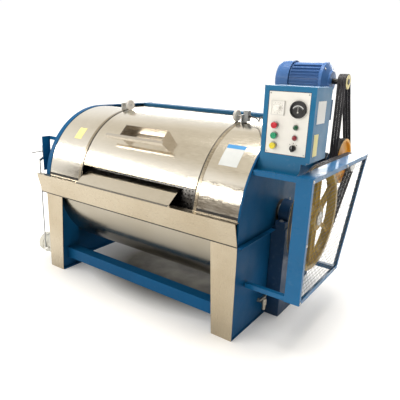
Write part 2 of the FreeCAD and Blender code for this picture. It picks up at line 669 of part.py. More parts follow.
# Drum: rolled shell with a loading mouth, end discs with shafts, ribs and a sliding door.
DRUM_X = (f"({LEFT_FACE} + drum_gap)", f"({RIGHT_FACE} - drum_gap)")
DRUM_MIDDLE = f"({LEFT_FACE} + {RIGHT_FACE}) / 2"
MOUTH_X = (f"{DRUM_MIDDLE} - drum_mouth_width / 2", f"{DRUM_MIDDLE} + drum_mouth_width / 2")
MOUTH_FIRST = "130 - drum_mouth_deg / 2"
drum_skin = arc_sheet("drum_skin", (f"{DRUM_X[0]} + drum_end", f"{DRUM_X[1]} - drum_end"), "drum_r",
                      "drum_wall", "0", FULL_TURN)
drum_mouth = wedge("drum_mouth", MOUTH_X, "drum_r + 5", MOUTH_FIRST, "drum_mouth_deg")
drum_sheet = cut("drum_sheet", drum_skin, drum_mouth)


def drum_head(name, inner, sign, reach):
    """An end disc with its hub and shaft; `reach` is the shaft's far end."""
    disc = rod(name + "_disc", "X", (inner, AXIS_Y, "axis_z"), "drum_end", "drum_r")
    hub_start = f"{inner} + drum_end" if sign > 0 else f"{inner} - hub_depth"
    hub = rod(name + "_hub", "X", (hub_start, AXIS_Y, "axis_z"), "hub_depth", "hub_r")
    shaft_start = f"{inner}" if sign > 0 else reach
    shaft_length = f"{reach} - ({inner})" if sign > 0 else f"({inner}) + drum_end - {reach}"
    shaft = rod(name + "_shaft", "X", (shaft_start, AXIS_Y, "axis_z"), shaft_length, "shaft_r")
    return fuse(name, [disc, hub, shaft])


BEARING_LEFT = (f"-{HALF} - bearing_gap - bearing_width", f"-{HALF} - bearing_gap")
BEARING_RIGHT = (f"{HALF} + bearing_gap", f"{HALF} + bearing_gap + bearing_width")
SHAFT_LEFT_END = f"({BEARING_LEFT[0]} - 15)"
SHAFT_RIGHT_END = "(wheel_x + pulley_width + 8)"
head_left = drum_head("drum_head_left", DRUM_X[0], -1, SHAFT_LEFT_END)
head_right = drum_head("drum_head_right", f"{DRUM_X[1]} - drum_end", 1, SHAFT_RIGHT_END)
node(group("drum_heads", [head_left, head_right]), "drum_heads")

RIB_COUNT = 3
ribs = []
for index in range(RIB_COUNT):
    angle = f"{20 + index * 120}"
    rib = new("Part::Box", f"rib_{index}")
    for prop, text in (("Length", f"{DRUM_X[1]} - {DRUM_X[0]} - 2 * drum_end"), ("Width", "rib_height"),
                       ("Height", "rib_width")):
        rib.setExpression(prop, bind(text))
    base = "(drum_r - rib_height)"
    place(rib, f"{DRUM_X[0]} + drum_end",
          f"{AXIS_Y} + {base} * cos({angle}) + rib_width / 2 * sin({angle})",
          f"axis_z + {base} * sin({angle}) - rib_width / 2 * cos({angle})",
          f"rotation(vector(1; 0; 0); {angle})")
    trim = wedge(f"rib_{index}_trim", DRUM_X, "drum_r - drum_wall / 2", "0", FULL_TURN)
    kept = new("Part::Common", f"rib_{index}_kept")
    kept.Base = rib
    kept.Tool = trim
    ribs.append(kept)
node(fuse("drum_shell", [drum_sheet] + ribs), "drum_shell")
DRUM_DOOR_R = "drum_r + run_gap + drum_wall"
LAP_DEG = "(drum_door_lap / drum_r * 180 / pi)"
node(
    arc_sheet("drum_door", (f"{MOUTH_X[0]} - drum_door_lap", f"{MOUTH_X[1]} + drum_door_lap"), DRUM_DOOR_R,
              "drum_wall", f"{MOUTH_FIRST} - {LAP_DEG}", f"drum_mouth_deg + 2 * {LAP_DEG}"),
    "drum_door",
)


# Shaft seals in the end plates, and pillow bearings on pedestals outside them.
def shaft_seal(name, x):
    ring = rod(name + "_ring", "X", (x, AXIS_Y, "axis_z"), "2 * plate_wall", "shaft_hole_r")
    bore = rod(name + "_bore", "X", (f"{x} - 1", AXIS_Y, "axis_z"), "2 * plate_wall + 2",
               "shaft_r + run_gap")
    return cut(name, ring, bore)


node(group("shaft_seals", [shaft_seal("seal_left", f"-{HALF}"),
                           shaft_seal("seal_right", f"{RIGHT_FACE} - plate_wall")]), "shaft_seals")


def pillow(name, x, y, z, half, width_r, drop, bore_r):
    """A pillow block: a round housing on a flat foot."""
    length = f"({x[1]}) - ({x[0]})"
    housing = rod(name + "_housing", "X", (x[0], y, z), length, width_r)
    foot = box(name + "_foot", x, (f"{y} - {half}", f"{y} + {half}"), (f"{z} - {drop}", f"{z} - {drop} / 2"))
    neck = box(name + "_neck", x, (f"{y} - {width_r} * 0.9", f"{y} + {width_r} * 0.9"), (f"{z} - {drop}", z))
    bore = rod(name + "_bore", "X", (f"{x[0]} - 1", y, z), f"{length} + 2", bore_r)
    level = box(name + "_level", (f"{x[0]} - 1", f"{x[1]} + 1"), (f"{y} - {half} - 1", f"{y} + {half} + 1"),
                (f"{z} - {drop} - {width_r}", f"{z} - {drop}"))
    return cut(name, fuse(name + "_block", [housing, foot, neck]), bore, level)


RUN_FIT = "0.05"
drum_bearings = [
    pillow(f"bearing_{side}", span_x, AXIS_Y, "axis_z", "bearing_half", "bearing_r", "bearing_foot",
           f"shaft_r + {RUN_FIT}")
    for side, span_x in (("left", BEARING_LEFT), ("right", BEARING_RIGHT))
]
PEDESTAL_Y = (f"{AXIS_Y} - bearing_half", f"{AXIS_Y} + bearing_half")
PEDESTAL_TOP = "(axis_z - bearing_foot)"


def pedestal(side, x):
    """A welded box column, open at the floor."""
    outer = box(f"pedestal_{side}_outer", x, PEDESTAL_Y, ("0", PEDESTAL_TOP))
    inner = box(
        f"pedestal_{side}_inner",
        (f"{x[0]} + pedestal_wall", f"{x[1]} - pedestal_wall"),
        (f"{PEDESTAL_Y[0]} + pedestal_wall", f"{PEDESTAL_Y[1]} - pedestal_wall"),
        ("-1", f"{PEDESTAL_TOP} - 2 * pedestal_wall"),
    )
    return cut(f"pedestal_{side}", outer, inner)


node(
    group(
        "bearing_pedestals",
        [
            pedestal("left", (f"(-{HALF} - pedestal_width)", f"(-{HALF})")),
            pedestal("right", (f"({HALF})", f"({HALF} + pedestal_width)")),
        ],
    ),
    "bearing_pedestals",
)

# Belt pulleys. Three grooves each; plane A is motor to layshaft, plane B is layshaft to drum wheel.
GROOVES = 3
PLANE_B = "wheel_x"
PLANE_A = "(wheel_x - pulley_step - pulley_width)"
GROOVE_LEAD = "(pulley_width - 2 * belt_pitch - groove_width) / 2"


def grooved_edge(radius):
    """The rim's outline from its left face to its right face."""
    points = [("0", radius)]
    for index in range(GROOVES):
        start = f"{GROOVE_LEAD} + {index} * belt_pitch"
        points += [
            (start, radius),
            (start, f"{radius} - groove_depth"),
            (f"{start} + groove_width", f"{radius} - groove_depth"),
            (f"{start} + groove_width", radius),
        ]
    return points + [("pulley_width", radius)]


def web_pulley(name, radius, hub, bore, x, y, z):
    """A grooved rim on a recessed web and a hub."""
    inner = f"{radius} - thin_rim"
    points = grooved_edge(radius) + [
        ("pulley_width", inner),
        ("pulley_width - pulley_web", inner),
        ("pulley_width - pulley_web", hub),
        ("pulley_width", hub),
        ("pulley_width", bore),
        ("0", bore),
        ("0", hub),
        ("pulley_web", hub),
        ("pulley_web", inner),
        ("0", inner),
    ]
    return node(spin(name, points, x, y, z), name)


def plain_pulley(name, radius, bore, x, y, z):
    points = grooved_edge(radius) + [("pulley_width", bore), ("0", bore)]
    return spin(name, points, x, y, z)


web_pulley("layshaft_large_pulley", "big_pulley_r", "2 * lay_r", "lay_r", PLANE_A, "lay_y", "lay_z")
small_pulley = plain_pulley("small_pulley", "small_pulley_r", "lay_r - 1", PLANE_B, "lay_y", "lay_z")
node(plain_pulley("motor_pulley", "motor_pulley_r", "motor_shaft_r", PLANE_A, "motor_y", "motor_z"),
     "motor_pulley")

# Drum wheel: grooved rim, six cast spokes and a hub keyed on the drum shaft.
RIM_INNER = "wheel_r - rim_depth"
rim_points = grooved_edge("wheel_r") + [("pulley_width", RIM_INNER), ("0", RIM_INNER)]
wheel_rim = spin("wheel_rim", rim_points, PLANE_B, AXIS_Y, "axis_z")
hub_points = [("0", "shaft_r"), ("0", "wheel_hub_r"), ("pulley_width", "wheel_hub_r"),
              ("pulley_width", "shaft_r")]
wheel_hub = spin("wheel_hub", hub_points, PLANE_B, AXIS_Y, "axis_z")
SPOKES = 6
spokes = []
for index in range(SPOKES):
    angle = f"{30 + index * 360 / SPOKES}"
    spoke = new("Part::Box", f"spoke_{index}")
    for prop, text in (("Length", "spoke_depth"), ("Width", f"{RIM_INNER} - wheel_hub_r + 10"),
                       ("Height", "spoke_width")):
        spoke.setExpression(prop, bind(text))
    place(spoke, f"{PLANE_B} + (pulley_width - spoke_depth) / 2",
          f"{AXIS_Y} + (wheel_hub_r - 5) * cos({angle}) + spoke_width / 2 * sin({angle})",
          f"axis_z + (wheel_hub_r - 5) * sin({angle}) - spoke_width / 2 * cos({angle})",
          f"rotation(vector(1; 0; 0); {angle})")
    spokes.append(spoke)
node(fuse("drum_wheel", [wheel_rim, wheel_hub] + spokes), "drum_wheel")


# Belts: endless loops round two pulleys, lying in their grooves.
def belt_loop(centres, radii):
    """A closed wire round two circles in the YZ plane, tangent to both."""
    (y1, z1), (y2, z2) = centres
    r1, r2 = radii
    gap = math.hypot(y2 - y1, z2 - z1)
    along = math.atan2(z2 - z1, y2 - y1)
    lean = math.acos((r1 - r2) / gap)

    def rim_point(centre, radius, angle):
        return FreeCAD.Vector(0, centre[0] + radius * math.cos(angle), centre[1] + radius * math.sin(angle))

    high, low = along + lean, along - lean
    a1, b1 = rim_point(centres[0], r1, high), rim_point(centres[1], r2, high)
    a2, b2 = rim_point(centres[0], r1, low), rim_point(centres[1], r2, low)
    far = rim_point(centres[0], r1, along + math.pi)
    near = rim_point(centres[1], r2, along)
    return Part.Wire([
        Part.LineSegment(a1, b1).toShape(),
        Part.Arc(b1, near, b2).toShape(),
        Part.LineSegment(b2, a2).toShape(),
        Part.Arc(a2, far, a1).toShape(),
    ])


def belts(name, plane, centres, rims):
    inner = [number(f"{rim} - groove_depth + belt_seat") for rim in rims]
    outer = [number(f"{rim} + belt_proud") for rim in rims]
    middle = [(number(y), number(z)) for y, z in centres]
    loops = []
    for index in range(GROOVES):
        start = number(f"{plane} + {GROOVE_LEAD} + {index} * belt_pitch + (groove_width - belt_width) / 2")
        width = FreeCAD.Vector(number("belt_width"), 0, 0)
        disc, core = (Part.Face(belt_loop(middle, radii)).extrude(width) for radii in (outer, inner))
        loop = disc.cut(core)
        loop.translate(FreeCAD.Vector(start, 0, 0))
        loops.append(loop)
    item = new("Part::Feature", name)
    item.Shape = Part.makeCompound(loops)
    return node(item, name)


belts("motor_belts", PLANE_A, [("motor_y", "motor_z"), ("lay_y", "lay_z")],
      ["motor_pulley_r", "big_pulley_r"])
belts("drum_belts", PLANE_B, [(AXIS_Y, "axis_z"), ("lay_y", "lay_z")], ["wheel_r", "small_pulley_r"])

# Layshaft with its two bearings on a welded bracket.
LAY_START = f"({HALF} + fit_gap)"
lay_bar = rod("lay_bar", "X", (LAY_START, "lay_y", "lay_z"), f"{PLANE_B} + pulley_width + 6 - {LAY_START}",
              "lay_r")
node(fuse("layshaft", [lay_bar, small_pulley]), "layshaft")
LAY_INNER = f"({HALF} + lay_bracket)"
LAY_OUTER = f"({PLANE_A} - fit_gap - lay_bearing_width)"
LAY_HALF = "(lay_bearing_r * 1.74)"
lay_bearings = [
    pillow(f"lay_bearing_{side}", (start, f"{start} + lay_bearing_width"), "lay_y", "lay_z", LAY_HALF,
           "lay_bearing_r", "lay_foot", f"lay_r + {RUN_FIT}")
    for side, start in (("inner", LAY_INNER), ("outer", LAY_OUTER))
]
node(group("shaft_bearings", drum_bearings + lay_bearings), "shaft_bearings")
SHELF_TOP = "(lay_z - lay_foot)"
BRACKET_Y = (f"lay_y - {LAY_HALF} - lay_bracket", f"lay_y + {LAY_HALF}")
shelf = box("lay_shelf", (HALF, f"{PLANE_A} - fit_gap"), BRACKET_Y,
            (f"{SHELF_TOP} - lay_bracket", SHELF_TOP))
cheek = box("lay_cheek", (HALF, f"{HALF} + lay_bracket"), BRACKET_Y,
            (f"{SHELF_TOP} - 16 * lay_bracket", SHELF_TOP))
rib_outline = [("0", "0"), (f"{PLANE_A} - 2 * lay_bracket - {HALF}", "0"), ("0", "-10 * lay_bracket")]
brace = pad("lay_brace", "XZ", [rib_outline], "lay_bracket", HALF, f"{REAR} - 2 * lay_bracket", SHELF_TOP)
node(fuse("layshaft_bracket", [shelf, cheek, brace]), "layshaft_bracket")

# Motor: finned body on feet, fan cowl, end shield, rotor shaft and platform.
MOTOR_RIGHT = "(motor_left + motor_length)"
COWL_END = "(motor_left + cowl_length)"
SHIELD_START = f"({MOTOR_RIGHT} - shield_length)"
FOOT_Z = "(motor_z - motor_foot)"
motor_body = rod("motor_body", "X", (COWL_END, "motor_y", "motor_z"), f"{SHIELD_START} - {COWL_END}",
                 "motor_r")
motor_pieces = [motor_body]
FIN_ROWS = 11
fin_step = f"(1.7 * motor_r / {FIN_ROWS - 1})"
for index in range(FIN_ROWS):
    height = f"({index} - {(FIN_ROWS - 1) / 2}) * {fin_step}"
    motor_pieces.append(
        box(f"fin_{index}", (f"{COWL_END} + 8", f"{SHIELD_START} - 8"),
            (f"motor_y - sqrt((motor_r + motor_fin)^2 - ({height})^2)",
             f"motor_y + sqrt((motor_r + motor_fin)^2 - ({height})^2)"),
            (f"motor_z + {height} - fin_wall / 2", f"motor_z + {height} + fin_wall / 2"))
    )
FOOT_HALF = "(motor_r + 10)"
motor_pieces.append(
    box("motor_base", (f"{COWL_END} + 20", f"{SHIELD_START} - 10"),
        (f"motor_y - {FOOT_HALF}", f"motor_y + {FOOT_HALF}"), (FOOT_Z, f"{FOOT_Z} + 16"))
)
motor_pieces.append(
    box("motor_saddle", (f"{COWL_END} + 20", f"{SHIELD_START} - 10"),
        ("motor_y - motor_r * 0.7", "motor_y + motor_r * 0.7"), (f"{FOOT_Z} + 10", "motor_z - motor_r / 2"))
)
shaft_space = rod("motor_bore", "X", (f"{COWL_END} - 1", "motor_y", "motor_z"), "motor_length",
                  f"motor_shaft_r + {RUN_FIT}")
COWL_R = "(motor_r + motor_fin)"
cowl_points = [
    ("0", "motor_r / 2"),
    ("0", f"{COWL_R} - cowl_round"),
    ("cowl_round / 4", f"{COWL_R} - cowl_round / 2"),
    ("cowl_round", f"{COWL_R} - cowl_round / 8"),
    ("2 * cowl_round", COWL_R),
    ("cowl_length", COWL_R),
    ("cowl_length", f"{COWL_R} - cowl_wall"),
    ("2 * cowl_round", f"{COWL_R} - cowl_wall"),
    ("cowl_round", f"{COWL_R} - cowl_round / 8 - cowl_wall"),
    ("cowl_wall", f"{COWL_R} - cowl_round - cowl_wall / 2"),
    ("cowl_wall", "motor_r / 2"),
]
node(spin("motor_fan_cowl", cowl_points, "motor_left", "motor_y", "motor_z"), "motor_fan_cowl")
shield_points = [
    ("0", f"motor_shaft_r + {RUN_FIT}"),
    ("0", "motor_r + motor_fin / 2"),
    ("shield_length / 3", "motor_r + motor_fin / 2"),
    ("shield_length * 0.8", "motor_r * 0.6"),
    ("shield_length", "motor_r * 0.55"),
    ("shield_length", f"motor_shaft_r + {RUN_FIT}"),
]
motor_pieces.append(spin("motor_end_shield", shield_points, SHIELD_START, "motor_y", "motor_z"))
node(cut("motor_frame", fuse("motor_block", motor_pieces), shaft_space), "motor_frame")
ROTOR_START = "(motor_left + 30)"
rotor_shaft = rod("rotor_shaft", "X", (ROTOR_START, "motor_y", "motor_z"),
                  f"{PLANE_A} + pulley_width + 4 - {ROTOR_START}", "motor_shaft_r")
rotor_fan = rod("rotor_fan", "X", (f"{ROTOR_START} + 10", "motor_y", "motor_z"), "cowl_length / 2",
                "motor_r * 0.7")
node(fuse("motor_rotor", [rotor_shaft, rotor_fan]), "motor_rotor")
DECK_X = (f"{COWL_END} - 30", f"{SHIELD_START} + 30")
DECK_Y = (f"motor_y - {FOOT_HALF} - 30", f"{RAIL_BACK}")
DECK_TOP = FOOT_Z
deck = box("motor_deck", DECK_X, DECK_Y, (f"{DECK_TOP} - platform_wall", DECK_TOP))
stand = [deck]
for column, x in enumerate((DECK_X[0], f"{DECK_X[1]} - platform_leg")):
    for row, (y, foot) in enumerate((
        (DECK_Y[0], COVER_TOP),
        (f"{DECK_Y[1]} - platform_leg", f"{ARCH_TOP} - plate_wall"),
    )):
        stand.append(box(f"stand_{column}_{row}", (x, f"{x} + platform_leg"), (y, f"{y} + platform_leg"),
                         (foot, f"{DECK_TOP} - platform_wall / 2")))
node(fuse("motor_platform", stand), "motor_platform")


# Belt guard: a folded sheet ring with a flange, wire mesh on its outer side, and struts to the end plate.
def guard_corners(inset):
    """The guard's four corners, moved in square to each edge."""
    inset = f"({inset})"
    slope = "(guard_rear_top - guard_rear_low) / (guard_top - guard_low)"
    shift = f"({inset}) * sqrt(1 + ({slope})^2)"
    return [
        (f"guard_front + {inset}", f"guard_low + {inset}"),
        (f"guard_rear_low + ({slope}) * ({inset}) - {shift}", f"guard_low + {inset}"),
        (f"guard_rear_top - ({slope}) * ({inset}) - {shift}", f"guard_top - {inset}"),
        (f"guard_front + {inset}", f"guard_top - {inset}"),
    ]


GUARD_OUT = "(guard_x + guard_depth)"
guard_fold = pad("guard_fold", "YZ", [guard_corners("0"), guard_corners("guard_wall")], "guard_depth",
                 "guard_x")
guard_open = box("guard_open", ("guard_x - 1", f"{GUARD_OUT} - strut_width"),
                 ("guard_front + guard_border", "guard_rear_top + 1"),
                 ("guard_low - 1", "guard_top - guard_border"))
guard_ring = cut("guard_ring", guard_fold, guard_open)
guard_flange = pad("guard_flange", "YZ", [guard_corners("guard_wall / 2"), guard_corners("guard_border")],
                   "guard_wall", f"{GUARD_OUT} - guard_wall")
MESH_X = f"({GUARD_OUT} - guard_wall - mesh_wire)"


def guard_mesh():
    """Upright and level strands within the guard's outline, as one holed sheet."""
    thick = number("mesh_wire")
    pitch = number("mesh_pitch")
    corners = [FreeCAD.Vector(number(MESH_X), number(u), number(v)) for u,
               v in guard_corners("guard_wall + run_gap")]
    inner = [FreeCAD.Vector(number(MESH_X), number(u), number(v)) for u, v in guard_corners("guard_border")]
    low, top = inner[0].z, inner[2].z
    front = inner[0].y
    rows = int((top - low) / pitch)
    step = (top - low) / rows
    holes = []
    for row in range(rows):
        z0 = low + row * step + thick / 2
        z1 = low + (row + 1) * step - thick / 2
        share = (z0 - low) / (top - low)
        back = inner[1].y + (inner[2].y - inner[1].y) * share
        columns = int((back - front) / pitch)
        for column in range(columns):
            y0 = front + column * (back - front) / columns + thick / 2
            y1 = front + (column + 1) * (back - front) / columns - thick / 2
            loop = [FreeCAD.Vector(corners[0].x, y, z) for y, z in ((y0, z0), (y1, z0), (y1, z1), (y0, z1))]
            holes.append(Part.makePolygon(loop + loop[:1]))
    face = Part.makeFace([Part.makePolygon(corners + corners[:1])] + holes, "Part::FaceMakerBullseye")
    item = new("Part::Feature", "guard_mesh")
    item.Shape = face.extrude(FreeCAD.Vector(thick, 0, 0))
    print("guard mesh gaps", len(holes))
    return node(item, "guard_mesh")


guard_mesh()
struts = [
    box(f"strut_{name}", (HALF, "guard_x + strut_width"), (y, f"{y} + strut_width"),
        (z, f"{z} + strut_width"))
    for name, y, z in (
        ("low", "guard_front + guard_wall", "guard_low + guard_wall"),
        ("high", "guard_front + guard_wall", "guard_top - guard_wall - strut_width"),
    )
]
struts.append(
    box("strut_rear", (HALF, f"{MESH_X} - guard_wall"),
        ("guard_rear_low - 2 * strut_width", "guard_rear_low - strut_width"),
        ("guard_low + guard_wall", "guard_low + guard_wall + strut_width"))
)
node(fuse("guard_frame", [guard_ring, guard_flange] + struts), "guard_frame")

# Slotted angle along the right end plate, under the fascia's end.
ANGLE_Y = (f"{FRONT} + 4", f"{PEDESTAL_Y[0]} - 4")
ANGLE_Z = "(fascia_z - strut_width)"
angle_bar = box("angle_bar", (HALF, f"{HALF} + strut_width"), ANGLE_Y, (ANGLE_Z, f"{ANGLE_Z} + strut_width"))
angle_core = box("angle_core", (f"{HALF} + plate_wall", f"{HALF} + strut_width + 1"),
                 (f"{ANGLE_Y[0]} - 1", f"{ANGLE_Y[1]} + 1"),
                 (f"{ANGLE_Z} - 1", f"{ANGLE_Z} + strut_width - plate_wall"))
SLOTS = 6
slots = []
for index in range(SLOTS):
    middle = f"({ANGLE_Y[0]} + ({ANGLE_Y[1]} - {ANGLE_Y[0]}) * {(index + 0.5) / SLOTS})"
    low = f"({ANGLE_Z} + strut_width / 2 - slot_width)"
    slots.append(box(f"slot_{index}", (f"{HALF} - 1", f"{HALF} + plate_wall + 1"),
                     (f"{middle} - slot_length / 2", f"{middle} + slot_length / 2"),
                     (low, f"{low} + slot_width")))
    for end, sign in (("front", "-"), ("back", "+")):
        slots.append(rod(f"slot_{index}_{end}", "X",
                         (f"{HALF} - 1", f"{middle} {sign} slot_length / 2", f"{low} + slot_width / 2"),
                         "plate_wall + 2", "slot_width / 2"))
node(cut("side_angle", angle_bar, angle_core, *slots), "side_angle")

# Control box: folded case on a bracket, white panel, meter, timer, buttons, lamps and selector.
BOX_X = (f"({HALF} + box_gap)", f"({HALF} + box_gap + box_width)")
BOX_Y = ("box_front", "(box_front + box_depth)")
BOX_Z = ("box_z", "(box_z + box_height)")
case_block = box("case_block", BOX_X, BOX_Y, BOX_Z)
PANEL_FRONT = "(box_front + panel_recess)"
case_space = box("case_space", (f"{BOX_X[0]} + box_wall", f"{BOX_X[1]} - box_wall"),
                 (f"{BOX_Y[0]} + box_wall", f"{BOX_Y[1]} - box_wall"),
                 (f"{BOX_Z[0]} + box_wall", f"{BOX_Z[1]} - box_wall"))
case_mouth = box("case_mouth", (f"{BOX_X[0]} + box_border", f"{BOX_X[1]} - box_border"),
                 (f"{BOX_Y[0]} - 1", f"{BOX_Y[0]} + box_wall + 1"),
                 (f"{BOX_Z[0]} + box_border", f"{BOX_Z[1]} - box_border"))
node(cut("control_box", case_block, case_space, case_mouth), "control_box")
PANEL_X = (f"({BOX_X[0]} + box_border)", f"({BOX_X[1]} - box_border)")
PANEL_Z = (f"({BOX_Z[0]} + box_border)", f"({BOX_Z[1]} - box_border)")
PANEL_W = "(box_width - 2 * box_border)"
PANEL_H = "(box_height - 2 * box_border)"
PANEL_BACK = f"({PANEL_FRONT} + panel_wall)"


def on_panel(across, down):
    """A place on the panel, as shares of its width from the left and of its height from the top."""
    return f"({PANEL_X[0]} + {PANEL_W} * {across})", f"({PANEL_Z[1]} - {PANEL_H} * {down})"


def knob_rod(name, spot, front, back, radius):
    """A cylinder facing the operator, between two distances in front of the panel."""
    x, z = spot
    return rod(name, "Y", (x, f"{PANEL_FRONT} - ({front})", z), f"({front}) - ({back})", radius)


BUTTON_SPOTS = {"red": on_panel(0.21, 0.535), "green": on_panel(0.215, 0.70),
                "yellow": on_panel(0.207, 0.865)}
LAMP_SPOTS = {"green": on_panel(0.713, 0.545), "red": on_panel(0.709, 0.71)}
METER_SPOT = on_panel(0.735, 0.265)
TIMER_SPOT = on_panel(0.246, 0.26)
KNOB_SPOT = on_panel(0.69, 0.875)
STEM_R = "button_r * 0.6"
STEM_BACK = "panel_wall + button_travel + 6"
panel_sheet = box("panel_sheet", PANEL_X, (PANEL_FRONT, PANEL_BACK), PANEL_Z)
panel_holes = [
    knob_rod(f"panel_hole_{index}", spot, "1", "-panel_wall - 1", f"{STEM_R} + run_gap")
    for index, spot in enumerate([*BUTTON_SPOTS.values(), KNOB_SPOT])
]
node(cut("control_panel", panel_sheet, *panel_holes), "control_panel")
meter_rim = knob_rod("meter_rim", METER_SPOT, "meter_proud", "0", "meter_r")
meter_well = knob_rod("meter_well", METER_SPOT, "meter_proud + 1", "meter_proud / 2", "meter_r - 5")
node(cut("current_meter", meter_rim, meter_well), "current_meter")
NEEDLE_Z = f"({METER_SPOT[1]} - meter_r / 3)"
needle_pivot = rod("needle_pivot", "Y", (METER_SPOT[0], f"{PANEL_FRONT} - meter_proud / 2 - 4", NEEDLE_Z),
                   "3.9", "4")
needle_arm = box("needle_arm", (f"{METER_SPOT[0]} - 0.8", f"{METER_SPOT[0]} + 0.8"),
                 (f"{PANEL_FRONT} - meter_proud / 2 - 3", f"{PANEL_FRONT} - meter_proud / 2 - 2"),
                 (f"{NEEDLE_Z}", f"{NEEDLE_Z} + meter_r * 0.85"))
node(fuse("meter_needle", [needle_pivot, needle_arm]), "meter_needle")
node(
    box("cycle_timer", (f"{TIMER_SPOT[0]} - timer_side / 2", f"{TIMER_SPOT[0]} + timer_side / 2"),
        (f"{PANEL_FRONT} - timer_proud", PANEL_FRONT),
        (f"{TIMER_SPOT[1]} - timer_side / 2", f"{TIMER_SPOT[1]} + timer_side / 2")),
    "cycle_timer",
)
collars = []
for colour, spot in BUTTON_SPOTS.items():
    ring = knob_rod(f"collar_{colour}", spot, "collar_proud", "0", "collar_r")
    bore = knob_rod(f"collar_{colour}_bore", spot, "collar_proud + 1", "-1", "button_r + run_gap")
    collars.append(cut(f"collar_{colour}_ring", ring, bore))
    cap = knob_rod(f"cap_{colour}", spot, "collar_proud + button_proud", "button_travel + run_gap",
                   "button_r")
    stem = knob_rod(f"stem_{colour}", spot, "button_travel + 1", f"-({STEM_BACK})", STEM_R)
    node(fuse(f"button_{colour}", [cap, stem]), f"button_{colour}")
lamps = []
for colour, spot in LAMP_SPOTS.items():
    collars.append(knob_rod(f"bezel_{colour}", spot, "collar_proud / 2", "0", "lamp_r + 3"))
    lamps.append(knob_rod(f"lamp_{colour}", spot, "collar_proud / 2 + lamp_proud", "collar_proud / 2",
                          "lamp_r"))
node(group("panel_lamps", lamps), "panel_lamps")
knob_ring = knob_rod("knob_ring", KNOB_SPOT, "collar_proud / 2", "0", "knob_r + 2")
knob_bore = knob_rod("knob_bore", KNOB_SPOT, "collar_proud", "-1", f"{STEM_R} + run_gap")
collars.append(cut("knob_collar", knob_ring, knob_bore))
KNOB_BASE = "collar_proud / 2 + run_gap"
knob_disc = knob_rod("knob_disc", KNOB_SPOT, f"{KNOB_BASE} + knob_proud", KNOB_BASE, "knob_r")
knob_stem = knob_rod("knob_stem", KNOB_SPOT, f"{KNOB_BASE} + 1", f"-({STEM_BACK})", STEM_R)
knob_grip = box("knob_grip", (f"{KNOB_SPOT[0]} - knob_r / 4", f"{KNOB_SPOT[0]} + knob_r / 4"),
                (f"{PANEL_FRONT} - ({KNOB_BASE} + 2.2 * knob_proud)", f"{PANEL_FRONT} - ({KNOB_BASE} + 1)"),
                (f"{KNOB_SPOT[1]} - knob_r", f"{KNOB_SPOT[1]} + knob_r"))
node(fuse("selector_knob", [knob_disc, knob_stem, knob_grip]), "selector_knob")
screws = [
    knob_rod(f"screw_{u}_{v}", on_panel(across, down), "2.5", "0", "screw_r")
    for u, across in enumerate((0.045, 0.955))
    for v, down in enumerate((0.035, 0.965))
]
node(group("panel_trim", collars + screws), "panel_trim")
APRON_X = (RIGHT_SKIN, f"({BOX_X[1]} - 50)")
APRON_Y = (BOX_Y[0], f"({BOX_Y[0]} + plate_wall)")
APRON_Z = (f"({BOX_Z[0]} - bracket_drop)", f"({BOX_Z[0]} - 2 * plate_wall)")
apron = [
    box("apron_side", (APRON_X[0], f"{APRON_X[1]} - apron_round"), APRON_Y, APRON_Z),
    box("apron_top", APRON_X, APRON_Y, (f"{APRON_Z[0]} + apron_round", APRON_Z[1])),
    rod("apron_corner", "Y", (f"{APRON_X[1]} - apron_round", APRON_Y[0], f"{APRON_Z[0]} + apron_round"),
        "plate_wall", "apron_round"),
]
ledge = box("box_ledge", (f"{HALF} + run_gap", f"{BOX_X[1]} - 20"), BOX_Y,
            (f"{BOX_Z[0]} - 2 * plate_wall", BOX_Z[0]))
node(fuse("box_bracket", apron + [ledge]), "box_bracket")

# Guide rollers on the door's two edges, on lugs that stand on the side shells.
ROLLER_Y = f"({AXIS_Y} + roller_back)"
ROLLER_Z = f"(axis_z + sqrt((shell_r + roller_r + run_gap)^2 - roller_back^2))"
rollers = []
lugs = []
for side, edge, sign in (("left", "door_left", "+"), ("right", "door_right", "-")):
    near = f"({edge} {sign} 6)"
    low = near if sign == "+" else f"({near} - roller_width)"
    rollers.append(
        cut(f"roller_{side}",
            rod(f"roller_{side}_disc", "X", (low, ROLLER_Y, ROLLER_Z), "roller_width", "roller_r"),
            rod(f"roller_{side}_bore", "X", (f"{low} - 1", ROLLER_Y, ROLLER_Z), "roller_width + 2",
                f"roller_pin_r + {RUN_FIT}"))
    )
    base_low = f"({edge} - seam_gap - 40)" if sign == "+" else f"({edge} + seam_gap + 40 - lug_wall)"
    lug = box(f"roller_lug_{side}_block", (base_low, f"{base_low} + lug_wall"),
              (f"{ROLLER_Y} - roller_r", f"{ROLLER_Y} + roller_r"),
              ("axis_z + shell_r - 3 * roller_r", f"{ROLLER_Z} + 2 * roller_pin_r"))
    trim = wedge(f"roller_lug_{side}_trim", (f"{base_low} - 1", f"{base_low} + lug_wall + 1"), "shell_r",
                 "0", FULL_TURN)
    if sign == "+":
        pin_start = base_low
        pin_length = f"{low} + roller_width + 4 - {base_low}"
    else:
        pin_start = f"{low} - 4"
        pin_length = f"{base_low} + lug_wall - {low} + 4"
    pin = rod(f"roller_pin_{side}", "X", (pin_start, ROLLER_Y, ROLLER_Z), pin_length, "roller_pin_r")
    lugs.append(fuse(f"roller_lug_{side}", [cut(f"roller_lug_{side}_cut", lug, trim), pin]))
node(group("guide_rollers", rollers), "guide_rollers")
node(group("roller_lugs", lugs), "roller_lugs")
SWITCH_X = "(door_right + seam_gap + 40 + run_gap)"
SWITCH_Y = (f"{ROLLER_Y} - roller_r / 2", f"{ROLLER_Y} + roller_r / 2")
SWITCH_BASE = "(axis_z + shell_r + 4)"
node(box("door_switch", (SWITCH_X, f"{SWITCH_X} + switch_width"), SWITCH_Y,
         (SWITCH_BASE, f"{SWITCH_BASE} + switch_height")),
     "door_switch")


